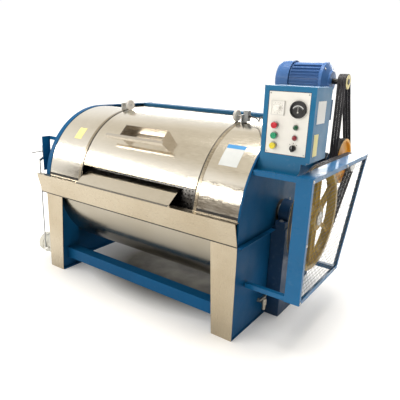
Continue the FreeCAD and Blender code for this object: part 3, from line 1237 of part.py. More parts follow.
# Switch cable: from the switch to the side of the control box.
def rounded_path(points, share=0.45):
    """Straight runs joined by tangent arcs, each as large as its two runs allow."""
    edges = []
    start = points[0]
    for before, corner, after in zip(points, points[1:], points[2:]):
        back = (before - corner).normalize()
        ahead = (after - corner).normalize()
        turn = math.pi - back.getAngle(ahead)
        reach = share * min(before.distanceToPoint(corner), after.distanceToPoint(corner))
        radius = reach / math.tan(turn / 2)
        first, last = corner + back * reach, corner + ahead * reach
        middle = (back + ahead).normalize()
        centre = corner + middle * (radius / math.cos(turn / 2))
        edges.append(Part.LineSegment(start, first).toShape())
        edges.append(Part.Arc(first, centre - middle * radius, last).toShape())
        print("cable bend radius", round(radius, 1))
        start = last
    edges.append(Part.LineSegment(start, points[-1]).toShape())
    return Part.Wire(edges)


def cable(name, points, radius):
    path = rounded_path(points)
    ring = Part.Wire([Part.makeCircle(radius, points[0], (points[1] - points[0]).normalize())])
    tube = path.makePipeShell([ring], True, False)
    expected = math.pi * radius**2 * path.Length
    print(name, "length", round(path.Length, 1), "volume share", round(tube.Volume / expected, 4))
    item = new("Part::Feature", name)
    item.Shape = tube
    return node(item, name)


switch_side = FreeCAD.Vector(
    number(f"{SWITCH_X} + switch_width + run_gap"), number(ROLLER_Y),
    number(f"{SWITCH_BASE} + switch_height / 2")
)
box_side = FreeCAD.Vector(
    number(f"{BOX_X[0]} - run_gap"), number("box_front + 0.4 * box_depth"),
    number("box_z + 0.55 * box_height")
)
cable(
    "switch_cable",
    [
        switch_side,
        switch_side + FreeCAD.Vector(number("cable_lead"), 0, 0),
        switch_side + FreeCAD.Vector(number("cable_run"), number("-cable_side"), number("-cable_sag")),
        switch_side + FreeCAD.Vector(number("cable_far_run"), number("-cable_far_side"),
                                     number("-cable_sag")),
        box_side - FreeCAD.Vector(number("cable_entry"), 0, 0),
        box_side,
    ],
    number("cable_r"),
)

# Drain: pipe through the left plate, and a butterfly disc whose spindle ends in a crank.
DRAIN_END = f"(-{HALF} - drain_length)"
DRAIN_START = f"({LEFT_FACE} + 24)"
DISC_X = f"(-{HALF} - flange_wall - disc_out)"
drain_bead = rod("drain_bead", "X", (f"{DRAIN_END} + spigot", "drain_y", "drain_z"), "drain_wall",
                 "drain_r + drain_wall")
drain_tube = rod("drain_tube", "X", (DRAIN_END, "drain_y", "drain_z"), f"{DRAIN_START} - {DRAIN_END}",
                 "drain_r")
drain_flange = rod("drain_flange", "X", (f"-{HALF} - flange_wall", "drain_y", "drain_z"), "flange_wall",
                   "flange_r")
drain_space = rod("drain_space", "X", (f"{DRAIN_END} - 1", "drain_y", "drain_z"),
                  f"{DRAIN_START} - {DRAIN_END} + 2", "drain_r - drain_wall")
LINK_Y = "(lever_y - crank * cos(crank_deg))"
LINK_X = f"({DISC_X} - crank * cos(crank_deg))"
CRANK_BACK = f"({LINK_Y} - link_r - run_gap)"
CRANK_FRONT = f"({CRANK_BACK} - lever_wall)"
spindle_hole = rod("spindle_hole", "Y", (DISC_X, "drain_y - drain_r - 1", "drain_z"), "drain_r",
                   f"spindle_r + {RUN_FIT}")
node(cut("drain_pipe", fuse("drain_block", [drain_tube, drain_flange, drain_bead]), drain_space,
         spindle_hole), "drain_pipe")
disc_plate = rod("disc_plate", "X", (f"{DISC_X} - 3", "drain_y", "drain_z"), "6", "drain_r - drain_wall - 1")
spindle = rod("spindle", "Y", (DISC_X, CRANK_FRONT, "drain_z"), f"drain_y + drain_r / 2 - {CRANK_FRONT}",
              "spindle_r")


def crank_arm(name, along, start, turn):
    """A flat arm from its pivot to its pin, drawn level and turned to its rest slope."""
    arm = new("Part::Box", name)
    for prop, text in zip(("Length", "Width", "Height"), along):
        arm.setExpression(prop, bind(text))
    return place(arm, *start, turn)


ARM_LENGTH = "crank + 2 * spindle_r"
disc_crank = crank_arm(
    "disc_crank",
    (ARM_LENGTH, "lever_wall", "2 * spindle_r"),
    (f"{DISC_X} - (crank + spindle_r) * cos(crank_deg) + spindle_r * sin(crank_deg)", CRANK_FRONT,
     "drain_z - (crank + spindle_r) * sin(crank_deg) - spindle_r * cos(crank_deg)"),
    "rotation(vector(0; 1; 0); -crank_deg)",
)
node(fuse("drain_disc", [disc_plate, spindle, disc_crank]), "drain_disc")

# Drain lever on its bracket, and the link rod down to the disc's crank.
LEVER_X = (f"({LINK_X} + link_r + run_gap)", f"({LINK_X} + link_r + run_gap + lever_wall)")
WEB_X = (f"({LEVER_X[1]} + run_gap)", f"({LEVER_X[1]} + run_gap + plate_wall)")
WEB_Y = ("lever_y - 2 * spindle_r", "lever_y + 2 * lever_half")
WEB_Z = ("lever_z - 4 * lever_half", "lever_z + 6 * lever_half")
bracket_web = box("bracket_web", WEB_X, WEB_Y, WEB_Z)
TAB_X = (WEB_X[0], f"-{HALF}")
TAB_Y = (f"{WEB_Y[1]} - plate_wall", WEB_Y[1])
low_tab = box("bracket_low_tab", TAB_X, TAB_Y, (WEB_Z[0], "lever_z + lever_half"))
high_tab = box("bracket_high_tab", TAB_X, TAB_Y, ("lever_z + 5 * lever_half", WEB_Z[1]))
pivot_pin = rod("pivot_pin", "X", (f"{LEVER_X[0]} - 4", "lever_y", "lever_z"),
                f"{WEB_X[1]} - {LEVER_X[0]} + 4", "spindle_r")
node(fuse("lever_bracket", [bracket_web, low_tab, high_tab, pivot_pin]), "lever_bracket")
lever_bar = box("lever_bar", LEVER_X, ("lever_y - 2 * spindle_r", "lever_y + 2 * spindle_r"),
                ("lever_z - 2 * spindle_r", "lever_z + lever_length"))
lever_crank = crank_arm(
    "lever_crank",
    ("lever_wall", ARM_LENGTH, "2 * spindle_r"),
    (LEVER_X[0], "lever_y - (crank + spindle_r) * cos(crank_deg) + spindle_r * sin(crank_deg)",
     "lever_z - (crank + spindle_r) * sin(crank_deg) - spindle_r * cos(crank_deg)"),
    "rotation(vector(1; 0; 0); crank_deg)",
)
HANDLE_START = (f"{LEVER_X[0]} + lever_wall / 2", "lever_y - 2 * spindle_r - handle_reach",
                "lever_z + lever_length / 2")
lever_handle = rod("lever_handle", "Y", HANDLE_START, "handle_reach + spindle_r", "lever_wall / 2")
lever_bore = rod("lever_bore", "X", (f"{LEVER_X[0]} - 1", "lever_y", "lever_z"), "lever_wall + 2",
                 f"spindle_r + {RUN_FIT}")
node(cut("drain_lever", fuse("lever_block", [lever_bar, lever_crank, lever_handle]), lever_bore),
     "drain_lever")
LINK_LOW = "(drain_z - crank * sin(crank_deg) - spindle_r)"
LINK_HIGH = "(lever_z - crank * sin(crank_deg) + spindle_r)"
node(rod("link_rod", "Z", (LINK_X, LINK_Y, LINK_LOW), f"{LINK_HIGH} - {LINK_LOW}", "link_r"), "link_rod")

# Brass test cock low on the right end plate, with a quarter-turn handle.
COCK_X = f"({HALF} + cock_out)"
cock_nipple = rod("cock_nipple", "X", (RIGHT_SKIN, "cock_y", "cock_z"), f"{COCK_X} - {RIGHT_SKIN}",
                  "cock_r * 0.75")
cock_body = rod("cock_body", "Z", (COCK_X, "cock_y", "cock_z - cock_r"), "2.4 * cock_r", "cock_r")
cock_spout = rod("cock_spout", "Z", (COCK_X, "cock_y", "cock_z - 3 * cock_r"), "2.5 * cock_r",
                 "cock_r * 0.7")
cock_bore = rod("cock_bore", "Z", (COCK_X, "cock_y", "cock_z - 3 * cock_r - 1"), "2.5 * cock_r",
                "cock_r * 0.5")
node(cut("test_cock", fuse("cock_block", [cock_nipple, cock_body, cock_spout]), cock_bore), "test_cock")
COCK_TOP = "(cock_z + 1.4 * cock_r + run_gap)"
cock_stem = rod("cock_stem", "Z", (COCK_X, "cock_y", COCK_TOP), "cock_r", "cock_r / 2")
cock_lever = box("cock_lever", (f"{COCK_X} - cock_r / 2", f"{COCK_X} + cock_r / 2"),
                 ("cock_y - 4 * cock_r", "cock_y + cock_r"),
                 (f"{COCK_TOP} + cock_r * 0.7", f"{COCK_TOP} + cock_r * 1.1"))
node(fuse("cock_handle", [cock_stem, cock_lever]), "cock_handle")

doc.recompute()
failed = [item.Name for item in doc.Objects if {"Invalid", "Error"} & set(item.State)]
if failed:
    raise SystemExit(f"failed: {failed}")
for name, item in NODES.items():
    if item.Shape.isNull() or not item.Shape.isValid() or not item.Shape.Solids:
        raise SystemExit(f"bad shape: {name}")
os.makedirs("parts", exist_ok=True)
for name, item in NODES.items():
    item.Shape.exportStep(f"parts/{name}.step")
print(len(NODES), "nodes")
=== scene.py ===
"""Looks of a horizontal-drum laundry washer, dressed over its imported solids.

Metres throughout: X along the drum, Y from the loading side to the back, Z up.
"""

import json
import math

import bmesh
import bpy
import numpy as np
from mathutils import Matrix, Vector


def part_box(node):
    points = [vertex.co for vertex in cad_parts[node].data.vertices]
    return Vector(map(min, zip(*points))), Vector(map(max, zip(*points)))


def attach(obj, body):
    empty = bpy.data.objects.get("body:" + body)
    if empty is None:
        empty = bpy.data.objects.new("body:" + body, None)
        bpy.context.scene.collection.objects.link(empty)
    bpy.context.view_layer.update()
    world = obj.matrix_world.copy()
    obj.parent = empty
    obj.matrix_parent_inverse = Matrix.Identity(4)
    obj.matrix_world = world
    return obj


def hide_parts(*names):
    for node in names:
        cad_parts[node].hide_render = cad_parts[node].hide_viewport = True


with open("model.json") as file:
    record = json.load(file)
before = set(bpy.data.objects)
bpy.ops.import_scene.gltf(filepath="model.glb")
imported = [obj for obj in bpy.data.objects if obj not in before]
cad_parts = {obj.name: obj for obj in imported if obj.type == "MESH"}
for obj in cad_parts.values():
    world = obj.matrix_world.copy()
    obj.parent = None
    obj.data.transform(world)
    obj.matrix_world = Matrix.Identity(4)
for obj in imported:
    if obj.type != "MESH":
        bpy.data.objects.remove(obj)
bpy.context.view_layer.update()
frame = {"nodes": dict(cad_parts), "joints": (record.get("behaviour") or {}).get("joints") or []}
node = frame["nodes"]
box = {name: np.round(np.array(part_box(name), float), 6) for name in node}
pivot = {joint["name"]: joint["pos_m"] for joint in frame["joints"] if "pos_m" in joint}
DRUM = DRUM_Y, DRUM_Z = pivot["drum_spin"][1:]


# End plates. Two plates of folded sheet steel, arched at the front, carry the whole machine.
# They are sprayed with blue machine enamel, which is a little dusty and scuffed.
class Nodes:
    """The shader nodes of one finish or sky. Each method adds nodes and gives back their output."""

    def __init__(self, tree, last, place="Object"):
        self.tree, self.last, self.place = tree, tree.nodes[last], place

    def feed(self, socket, value):
        """Put a number, a colour or another node's output into a socket."""
        if isinstance(value, bpy.types.NodeSocket):
            self.tree.links.new(value, socket)
        elif socket.type == "RGBA":
            socket.default_value = (*value, 1)
        else:
            socket.default_value = value

    def add(self, kind, **values):
        """A new node. Each value goes to the input of that name or, where there is none, to the setting."""
        item = self.tree.nodes.new("ShaderNode" + kind)
        for key, value in values.items():
            if key in item.inputs:
                self.feed(item.inputs[key], value)
            else:
                setattr(item, key, value)
        return item

    def spot(self):
        """The point's own coordinates."""
        return self.add("TexCoord").outputs[self.place]

    def noise(self, scale, detail=4.0, stretch=(1, 1, 1)):
        """Noise on the piece's own coordinates, stretched along each axis."""
        spot = self.add("Mapping", Vector=self.spot(), Scale=stretch).outputs["Vector"]
        return self.add("TexNoise", Vector=spot, Scale=scale, Detail=detail).outputs["Fac"]

    def ramp(self, value, *stops):
        """A colour ramp over a value; each stop is (place, colour)."""
        item = self.add("ValToRGB", Fac=value)
        points = item.color_ramp.elements
        while len(points) < len(stops):
            points.new(0.5)
        for point, (place, colour) in zip(points, stops):
            point.position = place
            point.color = (*colour, 1)
        return item.outputs["Color"]

    def spread(self, value, low, high, start=0.35, end=0.65):
        """A value moved from start..end to low..high."""
        span = {"From Min": start, "From Max": end, "To Min": low, "To Max": high}
        return self.add("MapRange", Value=value, **span).outputs["Result"]

    def blend(self, share, under, over, kind="MIX"):
        """One colour laid over another by a share."""
        item = self.add("Mix", data_type="RGBA", blend_type=kind, Factor=share, A=under, B=over)
        return item.outputs["Result"]

    def give(self, values):
        """Feed the last node of the tree."""
        for key, value in values.items():
            self.feed(self.last.inputs[key], value)

    def bump(self, *layers):
        """Bump layers of (height, distance in metres, strength), one on another."""
        normal = None
        for height, distance, strength in layers:
            item = self.add("Bump", Height=height, Distance=distance, Strength=strength)
            if normal:
                self.feed(item.inputs["Normal"], normal)
            normal = item.outputs["Normal"]
        self.give({"Normal": normal})


def finish(name):
    """A new material and its nodes."""
    material = bpy.data.materials.new(name)
    material.use_nodes = True
    return material, Nodes(material.node_tree, "Principled BSDF")


def shade(colour, factor):
    """A colour made darker or lighter."""
    return tuple(min(1.0, channel * factor) for channel in colour)


def enamel(name, colour, gloss=0.3, dust=(0.40, 0.46, 0.50), coat=0.08, shine=0.30):
    """Sprayed paint: slow colour drift, dusty flecks, orange-peel bump and uneven gloss."""
    material, nodes = finish(name)
    stops = (0.3, shade(colour, 0.86)), (0.55, colour), (0.75, shade(colour, 1.08))
    drift = nodes.ramp(nodes.noise(2.2, 5), *stops)
    fleck = nodes.spread(nodes.noise(38, 8), 0.0, 0.07, 0.58, 0.78)
    nodes.give({
        "Base Color": nodes.blend(fleck, drift, dust),
        "Roughness": nodes.spread(nodes.noise(9, 6), gloss, gloss + 0.2),
        "Specular IOR Level": shine,
        "Coat Weight": coat,
        "Coat Roughness": 0.12,
    })
    nodes.bump((nodes.noise(260, 2), 0.0006, 0.12), (nodes.noise(5, 2), 0.004, 0.10))
    return material


def dress(material, *names):
    """Give every slot of the named CAD nodes one material."""
    for name in names:
        slots = node[name].data.materials
        if not slots:
            slots.append(material)
        for index in range(len(slots)):
            slots[index] = material


machine_blue = enamel("machine_blue", (0.004, 0.080, 0.205), dust=(0.16, 0.24, 0.32), coat=0.02, shine=0.08)
dress(machine_blue, "end_plate_left", "end_plate_right")


# Hexagon bolts. Zinc-plated steel heads on washers hold the plates, brackets and bearings.
# A row of them follows the left plate's arch, where the tub's end liner is screwed on.
def grid_faces(rows, columns, wrap=False, tube=False):
    """Quads between neighbours of a grid; wrap closes the columns and tube closes the rows."""
    row = np.arange(rows if tube else rows - 1)[:, None]
    column = np.arange(columns if wrap else columns - 1)[None]
    row, above, beside = row * columns, (row + 1) % rows * columns, (column + 1) % columns
    quads = np.broadcast_arrays(row + column, row + beside, above + beside, above + column)
    return np.stack(quads, -1).reshape(-1, 4)


def turned(profile, sides):
    """A profile of (radius, height) points carried round Z: P(i, a) = (r_i cos a, r_i sin a, h_i)."""
    profile = np.array(profile, float)
    angle = np.arange(sides) * 2 * np.pi / sides
    ring = np.stack([np.cos(angle), np.sin(angle)], 1)
    height = np.broadcast_to(profile[:, None, 1:], (len(profile), sides, 1))
    points = np.concatenate([profile[:, None, :1] * ring[None], height], 2)
    return points.reshape(-1, 3), grid_faces(len(profile), sides, wrap=True)


def joined(*shapes):
    """Several shapes as one: their points in a row, their faces counted on."""
    start = np.cumsum([0] + [len(points) for points, _ in shapes[:-1]])
    faces = [faces + first for (_, faces), first in zip(shapes, start)]
    return np.concatenate([points for points, _ in shapes]), np.concatenate(faces)


def repeated(shape, places):
    """One shape at many places: P(n, v) = place_n + v."""
    points, faces = shape
    places = np.array(places, float)
    many = (places[:, None] + points[None]).reshape(-1, 3)
    return many, (faces[None] + (np.arange(len(places)) * len(points))[:, None, None]).reshape(-1, 4)


def along(shape, axis):
    """A shape made about Z, turned so that its Z lies along another direction."""
    turn = np.array(Vector((0, 0, 1)).rotation_difference(Vector(axis)).to_matrix())
    return shape[0] @ turn.T, shape[1]


def piece(name, shape, material, body, smooth=35, bevel=0.0):
    """A finished piece: its mesh with closed seams and outward faces, its finish and its body."""
    mesh = bpy.data.meshes.new(name)
    mesh.from_pydata(shape[0].tolist(), [], shape[1].tolist())
    work = bmesh.new()
    work.from_mesh(mesh)
    bmesh.ops.remove_doubles(work, verts=work.verts, dist=2e-6)
    bmesh.ops.dissolve_degenerate(work, edges=work.edges, dist=1e-7)
    bmesh.ops.recalc_face_normals(work, faces=work.faces)
    work.to_mesh(mesh)
    work.free()
    mesh.polygons.foreach_set("use_smooth", np.ones(len(mesh.polygons), bool))
    mesh.set_sharp_from_angle(angle=math.radians(smooth))
    mesh.materials.append(material)
    item = bpy.data.objects.new(name, mesh)
    bpy.context.scene.collection.objects.link(item)
    if bevel:
        edge = item.modifiers.new("edge", "BEVEL")
        edge.width = bevel
        edge.segments = 2
        edge.limit_method = "ANGLE"
    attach(item, body)
    return item


def grained(name, stops, mottle, polish, gloss, skin, **values):
    """A finish from three noises: mottle tints it by the stops, polish moves its gloss, skin is a bump."""
    material, nodes = finish(name)
    tint = nodes.ramp(nodes.noise(*mottle), *stops)
    nodes.give({"Base Color": tint, "Roughness": nodes.spread(nodes.noise(*polish), *gloss)})
    nodes.give({key.replace("_", " "): value for key, value in values.items()})
    grain, depth, strength = skin
    nodes.bump((nodes.noise(*grain), depth, strength))
    return material


def zinc_plate(name, colour=(0.62, 0.62, 0.60)):
    """Plated steel: blotchy sheen on a fine grain."""
    stops = (0.3, shade(colour, 0.75)), (0.7, colour)
    return grained(name, stops, (60, 4), (120, 3), (0.28, 0.48), ((500, 2), 0.0003, 0.2), Metallic=1.0)


zinc = zinc_plate("zinc_plate")


def bolt(size):
    """A washer, a hexagon head and its chamfer, as shares of the head's half width."""
    washer = np.array([(0, 0), (1.45, 0), (1.45, 0.22), (0, 0.22)])
    head = np.array([(0, 0.2), (1.1, 0.2), (1.1, 0.75), (0.92, 0.92), (0, 0.92)])
    return joined(turned(size * washer, 20), turned(size * head, 6))


def bolts(name, places, axis, size, body="frame"):
    """Bolts of one size at many places, their heads along an axis."""
    return piece(name, repeated(along(bolt(size), axis), places), zinc, body)


def round_axis(x, centre, radius, degrees):
    """Places round an axis along X: P = (x, y0 + r cos a, z0 + r sin a)."""
    angle = np.radians(degrees)
    return np.stack(
        [np.full(len(angle), x), centre[0] + radius * np.cos(angle), centre[1] + radius * np.sin(angle)], 1
    )


LEFT_FACE, PLATE_BOLT_R = box["end_plate_left"][0][0], 0.535
plate_bolts = round_axis(LEFT_FACE, DRUM, PLATE_BOLT_R, (95, 115, 135, 155, 175))
bolts("left_plate_bolts", plate_bolts, (-1, 0, 0), size=0.009)


# Legs and rails. Square posts, tubes and angles are welded between the end plates and painted with them.
# Floor plates inside the posts take the anchor bolts, whose nuts and stud ends stand up from them.
def both(middle, reach):
    """The two places at the same reach from a middle."""
    return middle - reach, middle + reach


def corners(across, deep, height):
    """All pairs of two places along X and two along Y, at one height."""
    return [(x, y, height) for x in across for y in deep]


dress(machine_blue, "front_legs", "floor_plates", "cross_rails", "side_angle")
ANCHOR_X, ANCHOR_Y = 0.78, 0.38
stud = turned([(0, 0.01), (0.0078, 0.01), (0.0078, 0.034), (0.0065, 0.036), (0, 0.036)], 16)
anchor_spots = corners(both(0, ANCHOR_X), both(0, ANCHOR_Y), box["floor_plates"][1][2])
piece("anchor_nuts", repeated(joined(bolt(0.012), stud), anchor_spots), zinc, "frame")


# Tub, fascia and leg covers. Stainless sheet with a brushed grain; the sheet is thin, so that its
# faces wave a little and the reflections bend. A black rubber strip under the fascia is a painted
# shadow line, and a painted flat bar clamps the top cover's rear edge.
def stainless(name, colour, gloss, grain=(3, 90, 90), wave=0.006, scratch=0.03, patch=3.0, stained=0.35):
    """Brushed stainless: streaks along the grain drive tint, gloss and bump; slow waves bend the sheet."""
    material, nodes = finish(name)
    streak = nodes.noise(6, 5, grain)
    tint = nodes.ramp(streak, (0.25, shade(colour, 0.94)), (0.5, colour), (0.8, shade(colour, 1.04)))
    stain = nodes.spread(nodes.noise(patch, 4), 0.0, stained, 0.45, 0.75)
    nodes.give({
        "Base Color": nodes.blend(stain, tint, (0.80, 0.76, 0.69), "MULTIPLY"),
        "Metallic": 1.0,
        "Roughness": nodes.spread(streak, gloss, gloss + 0.12),
    })
    nodes.bump((streak, 0.0003, scratch), (nodes.noise(1.6, 2), wave, 0.35))
    return material


brushed = stainless("brushed_stainless", (0.44, 0.382, 0.288), 0.20, patch=1.4, stained=1.0)
dulled = stainless("dulled_stainless", (0.34, 0.312, 0.255), 0.15)
upright = stainless("upright_stainless", (0.45, 0.392, 0.298), 0.22, (90, 90, 3), patch=1.8, stained=0.9)
dress(brushed, "tub_ends", "tub_back_wall", "top_cover", "front_fascia", "door_tracks")
dress(dulled, "tub_trough")
dress(upright, "leg_covers")


def rubber(name, colour=(0.022, 0.021, 0.020), gloss=0.55):
    """Moulded rubber: fine grain and dull chalky patches."""
    stops = (0.35, colour), (0.75, shade(colour, 1.9))
    return grained(name, stops, (30, 5), (45, 4), (gloss, gloss + 0.25), ((420, 2), 0.0004, 0.25))


def block(low, high):
    """A box between two corners: P = low + sign * (high - low), its edges rounded later by a bevel."""
    low, high = np.array(low, float), np.array(high, float)
    signs = np.stack(np.meshgrid([0, 1], [0, 1], [0, 1], indexing="ij"), -1).reshape(-1, 3)
    sides = [[0, 1, 3, 2], [4, 6, 7, 5], [0, 4, 5, 1], [2, 3, 7, 6], [0, 2, 6, 4], [1, 5, 7, 3]]
    return low + signs * (high - low), np.array(sides)


# This black rubber makes the shaft seals, and also strips that are painted shadow lines in gaps and under
# edges.
seal_rubber = rubber("seal_rubber")
# The strip along the fascia's foot is a painted shadow line under the fascia.
fascia_low, fascia_high = box["front_fascia"]
STRIP_HALF, STRIP_RISE = 0.0025, 0.0035
shadow_strip_y = box["leg_covers"][0][1]
shadow_strip = block((fascia_low[0], shadow_strip_y - STRIP_HALF, fascia_low[2] - STRIP_HALF),
            (fascia_high[0], shadow_strip_y + STRIP_HALF, fascia_low[2] + STRIP_RISE))
piece("fascia_hem", shadow_strip, seal_rubber, "frame", bevel=0.001)

rail_blue = enamel("rail_blue", (0.010, 0.090, 0.195), 0.7, coat=0.0)
CLAMP_WIDTH, CLAMP_RISE, CLAMP_LAP, COVER_GAP, MOTOR_GAP = 0.110, 0.024, 0.001, 0.010, 0.015
_, cover_back, cover_top = box["top_cover"][1]
clamp_left, clamp_right = box["top_cover"][0][0] + COVER_GAP, box["motor_platform"][0][0] - MOTOR_GAP
clamp = block((clamp_left, cover_back - CLAMP_WIDTH, cover_top - CLAMP_LAP),
              (clamp_right, cover_back, cover_top + CLAMP_RISE))
piece("cover_clamp_bar", clamp, rail_blue, "frame", bevel=0.002)

# Side shells and sliding door. Polished stainless sheet rolled to the tub's round. Folded bands close the
# seams beside the door, black lips in their gaps are painted shadow lines, and a fold stiffens the door's
# foot.
polished = stainless("polished_stainless", (0.84, 0.785, 0.68), 0.11, (4, 40, 40), wave=0.010, scratch=0.012)
dress(polished, "shell_left", "shell_right", "door_skin", "loading_flap")
SHELL_R = round(box["door_skin"][1][2] - DRUM_Z, 4)


def curved_band(x, lift, degrees, steps):
    """A four-sided strip over the rolled shell: P = (x, y0 + r cos a, z0 + r sin a), r = R + lift."""
    angle = np.radians(np.linspace(*degrees, steps))[:, None]
    across = np.broadcast_to([x[0], x[1], x[1], x[0]], (steps, 4))
    radius = SHELL_R + np.array([lift[0], lift[0], lift[1], lift[1]])
    points = np.stack([across, DRUM_Y + radius * np.cos(angle), DRUM_Z + radius * np.sin(angle)], -1)
    ends = np.array([[0, 1, 2, 3], np.array([3, 2, 1, 0]) + 4 * (steps - 1)])
    return points.reshape(-1, 3), np.concatenate([grid_faces(steps, 4, wrap=True), ends])


SEAM_TURN, FOOT_TURN, FOLD_TURN = (73.5, 173.3), (171.6, 173.3), (158.4, 160.45)
SEAM_STEPS, SHORT_STEPS = 90, 6
BAND_NEAR, BAND_FAR, FOOT_PAST, LAP = 0.007, 0.029, 0.008, 0.0005
BAND_RISE, LIP_RISE, FOOT_RISE, FOLD_RISE = 0.0025, 0.0012, 0.0015, 0.0015
(left_end, left_edge), (right_edge, right_end) = box["shell_left"][:, 0], box["shell_right"][:, 0]
left_band = left_edge - BAND_FAR, left_edge - BAND_NEAR
right_band = right_edge + BAND_NEAR, right_edge + BAND_FAR
left_lip, right_lip = (left_band[1], left_edge + LAP), (right_edge - LAP, right_band[0])
left_foot, right_foot = (left_end, left_band[0]), (right_band[1], right_end + FOOT_PAST)
seam_bands, seam_shadow_lips, foot_shadow_lips = (
    joined(*[curved_band(x, lift, degrees, steps) for x in pair])
    for pair, lift, degrees, steps in (
        ((left_band, right_band), (0, BAND_RISE), SEAM_TURN, SEAM_STEPS),
        ((left_lip, right_lip), (-LAP, LIP_RISE), SEAM_TURN, SEAM_STEPS),
        ((left_foot, right_foot), (-LAP, FOOT_RISE), FOOT_TURN, SHORT_STEPS),
    )
)
piece("seam_bands", seam_bands, brushed, "frame")
# The black lips in the seam gaps are painted shadow lines.
piece("seam_seals", seam_shadow_lips, seal_rubber, "frame")
# Black strips at the feet of the side shells are painted shadow lines.
piece("shell_foot_seals", foot_shadow_lips, seal_rubber, "frame")
door_left, door_right = box["door_skin"][:, 0]
door_fold = curved_band((door_left + LAP, door_right - LAP), (0, FOLD_RISE), FOLD_TURN, SHORT_STEPS)
piece("door_foot_fold", door_fold, brushed, "door")

# Door handle. A folded stainless hood over a long grip channel, spot-welded to the door's sheet;
# two small bolts at its top close the hood's box.
hood_stainless = stainless("hood_stainless", (0.74, 0.70, 0.64), 0.14, grain=(4, 60, 60))
dress(hood_stainless, "door_handle")
HOOD_X, HOOD_BOLT_X, HOOD_BOLT_UP, HOOD_BOLT_OUT = 0.026, 0.12, 0.045, 0.060
HANDLE_TURN = math.radians(133)
handle_out = np.array([0, math.cos(HANDLE_TURN), math.sin(HANDLE_TURN)])
handle_up = np.array([0, math.sin(HANDLE_TURN), -math.cos(HANDLE_TURN)])
hood_top = np.array([HOOD_X, *DRUM]) + (SHELL_R + HOOD_BOLT_OUT) * handle_out + HOOD_BOLT_UP * handle_up
hood_bolts = [hood_top + (x, 0, 0) for x in both(0, HOOD_BOLT_X)]
bolts("handle_bolts", hood_bolts, handle_up, size=0.006, body="door")


# Label plates. Thin blank plates of lacquered foil, stuck on the two side shells and on the side of
# the control box. The right shell's plate has a blue band along its top.
def lacquer(name, colour, gloss=0.35):
    """Lacquered foil: faint print mottling and soft creases."""
    stops = (0.3, shade(colour, 0.93)), (0.7, colour)
    return grained(name, stops, (24, 4), (50, 3), (gloss, gloss + 0.15), ((14, 3), 0.0008, 0.15))


label_white = lacquer("label_white", (0.80, 0.82, 0.82))
# The right shell's plate takes a grey copy of the white foil, painted shade against the key light falling on
# it.
label_grey = lacquer("label_grey", (0.62, 0.64, 0.63))
label_blue = lacquer("label_blue", (0.030, 0.26, 0.58))
label_cream = lacquer("label_cream", (0.82, 0.74, 0.30))
FOIL, BAND_FOIL, BOX_FOIL = (-LAP, 0.0008), (0, 0.0011), (-0.0001, 0.0012)
LEFT_LABEL_X, LEFT_LABEL_TURN = (-0.675, -0.601), (131.2, 141.5)
RIGHT_LABEL_X, RIGHT_LABEL_TURN, LABEL_BAND_TURN = (0.641, 0.770), (126.4, 142.5), (126.6, 129.6)
left_label = curved_band(LEFT_LABEL_X, FOIL, LEFT_LABEL_TURN, steps=14)
right_label = curved_band(RIGHT_LABEL_X, FOIL, RIGHT_LABEL_TURN, steps=20)
label_band = curved_band(RIGHT_LABEL_X, BAND_FOIL, LABEL_BAND_TURN, steps=6)
piece("left_shell_plate", left_label, label_cream, "frame")
piece("right_shell_plate", right_label, label_grey, "frame")
piece("right_plate_band", label_band, label_blue, "frame")
box_face = box["control_box"][1][0]
for label_name, y, z, label_finish in (
    ("box_side_plate", (-0.385, -0.265), (1.345, 1.465), label_white),
    ("box_low_plate", (-0.395, -0.335), (1.170, 1.290), label_cream),
):
    foil = block((box_face + BOX_FOIL[0], y[0], z[0]), (box_face + BOX_FOIL[1], y[1], z[1]))
    piece(label_name, foil, label_finish, "frame")


# Flap hinge. Rolled stainless knuckles on a rod join the loading flap's foot to the fascia.
# They turn with the flap, and their stainless is painted dark grey as a painted shade line along the flap's
# foot.
def rod(radius, length, sides):
    """A plain round rod up Z."""
    return turned([(0, 0), (radius, 0), (radius, length), (0, length)], sides)


hinge_stainless = stainless("hinge_stainless", (0.15, 0.14, 0.12), 0.42)
KNUCKLES, KNUCKLE_R, KNUCKLE_GAP, FLAP_MARGIN = 11, 0.0062, 0.0015, 0.002
flap_low, flap_high = box["loading_flap"]
knuckle_edges = np.linspace(flap_low[0] + FLAP_MARGIN, flap_high[0] - FLAP_MARGIN, KNUCKLES + 1)
knuckle = along(rod(KNUCKLE_R, knuckle_edges[1] - knuckle_edges[0] - KNUCKLE_GAP, 14), (1, 0, 0))
knuckle_spots = [(x, *pivot["flap_fold"][1:]) for x in knuckle_edges[:-1]]
piece("flap_knuckles", repeated(knuckle, knuckle_spots), hinge_stainless, "flap")


# Drum. Stainless sheet punched with rows of holes, rolled and welded to two solid heads.
# Its own sliding door, of the same punched sheet, closes the mouth.
def reckon(nodes, kind, *values):
    """One arithmetic node on one or two values."""
    item = nodes.add("Math", operation=kind)
    for socket, value in zip(item.inputs, values):
        nodes.feed(socket, value)
    return item.outputs["Value"]


def hypotenuse(nodes, first, second):
    """sqrt(a^2 + b^2) of two values."""
    squares = [reckon(nodes, "MULTIPLY", value, value) for value in (first, second)]
    return reckon(nodes, "SQRT", reckon(nodes, "ADD", *squares))


def about_axis(nodes, y, z):
    """A point's X, and its angle and distance about an axis along X at (y, z)."""
    parts = nodes.add("SeparateXYZ", Vector=nodes.spot()).outputs
    back, up = reckon(nodes, "SUBTRACT", parts["Y"], y), reckon(nodes, "SUBTRACT", parts["Z"], z)
    return parts["X"], reckon(nodes, "ARCTAN2", up, back), hypotenuse(nodes, back, up)


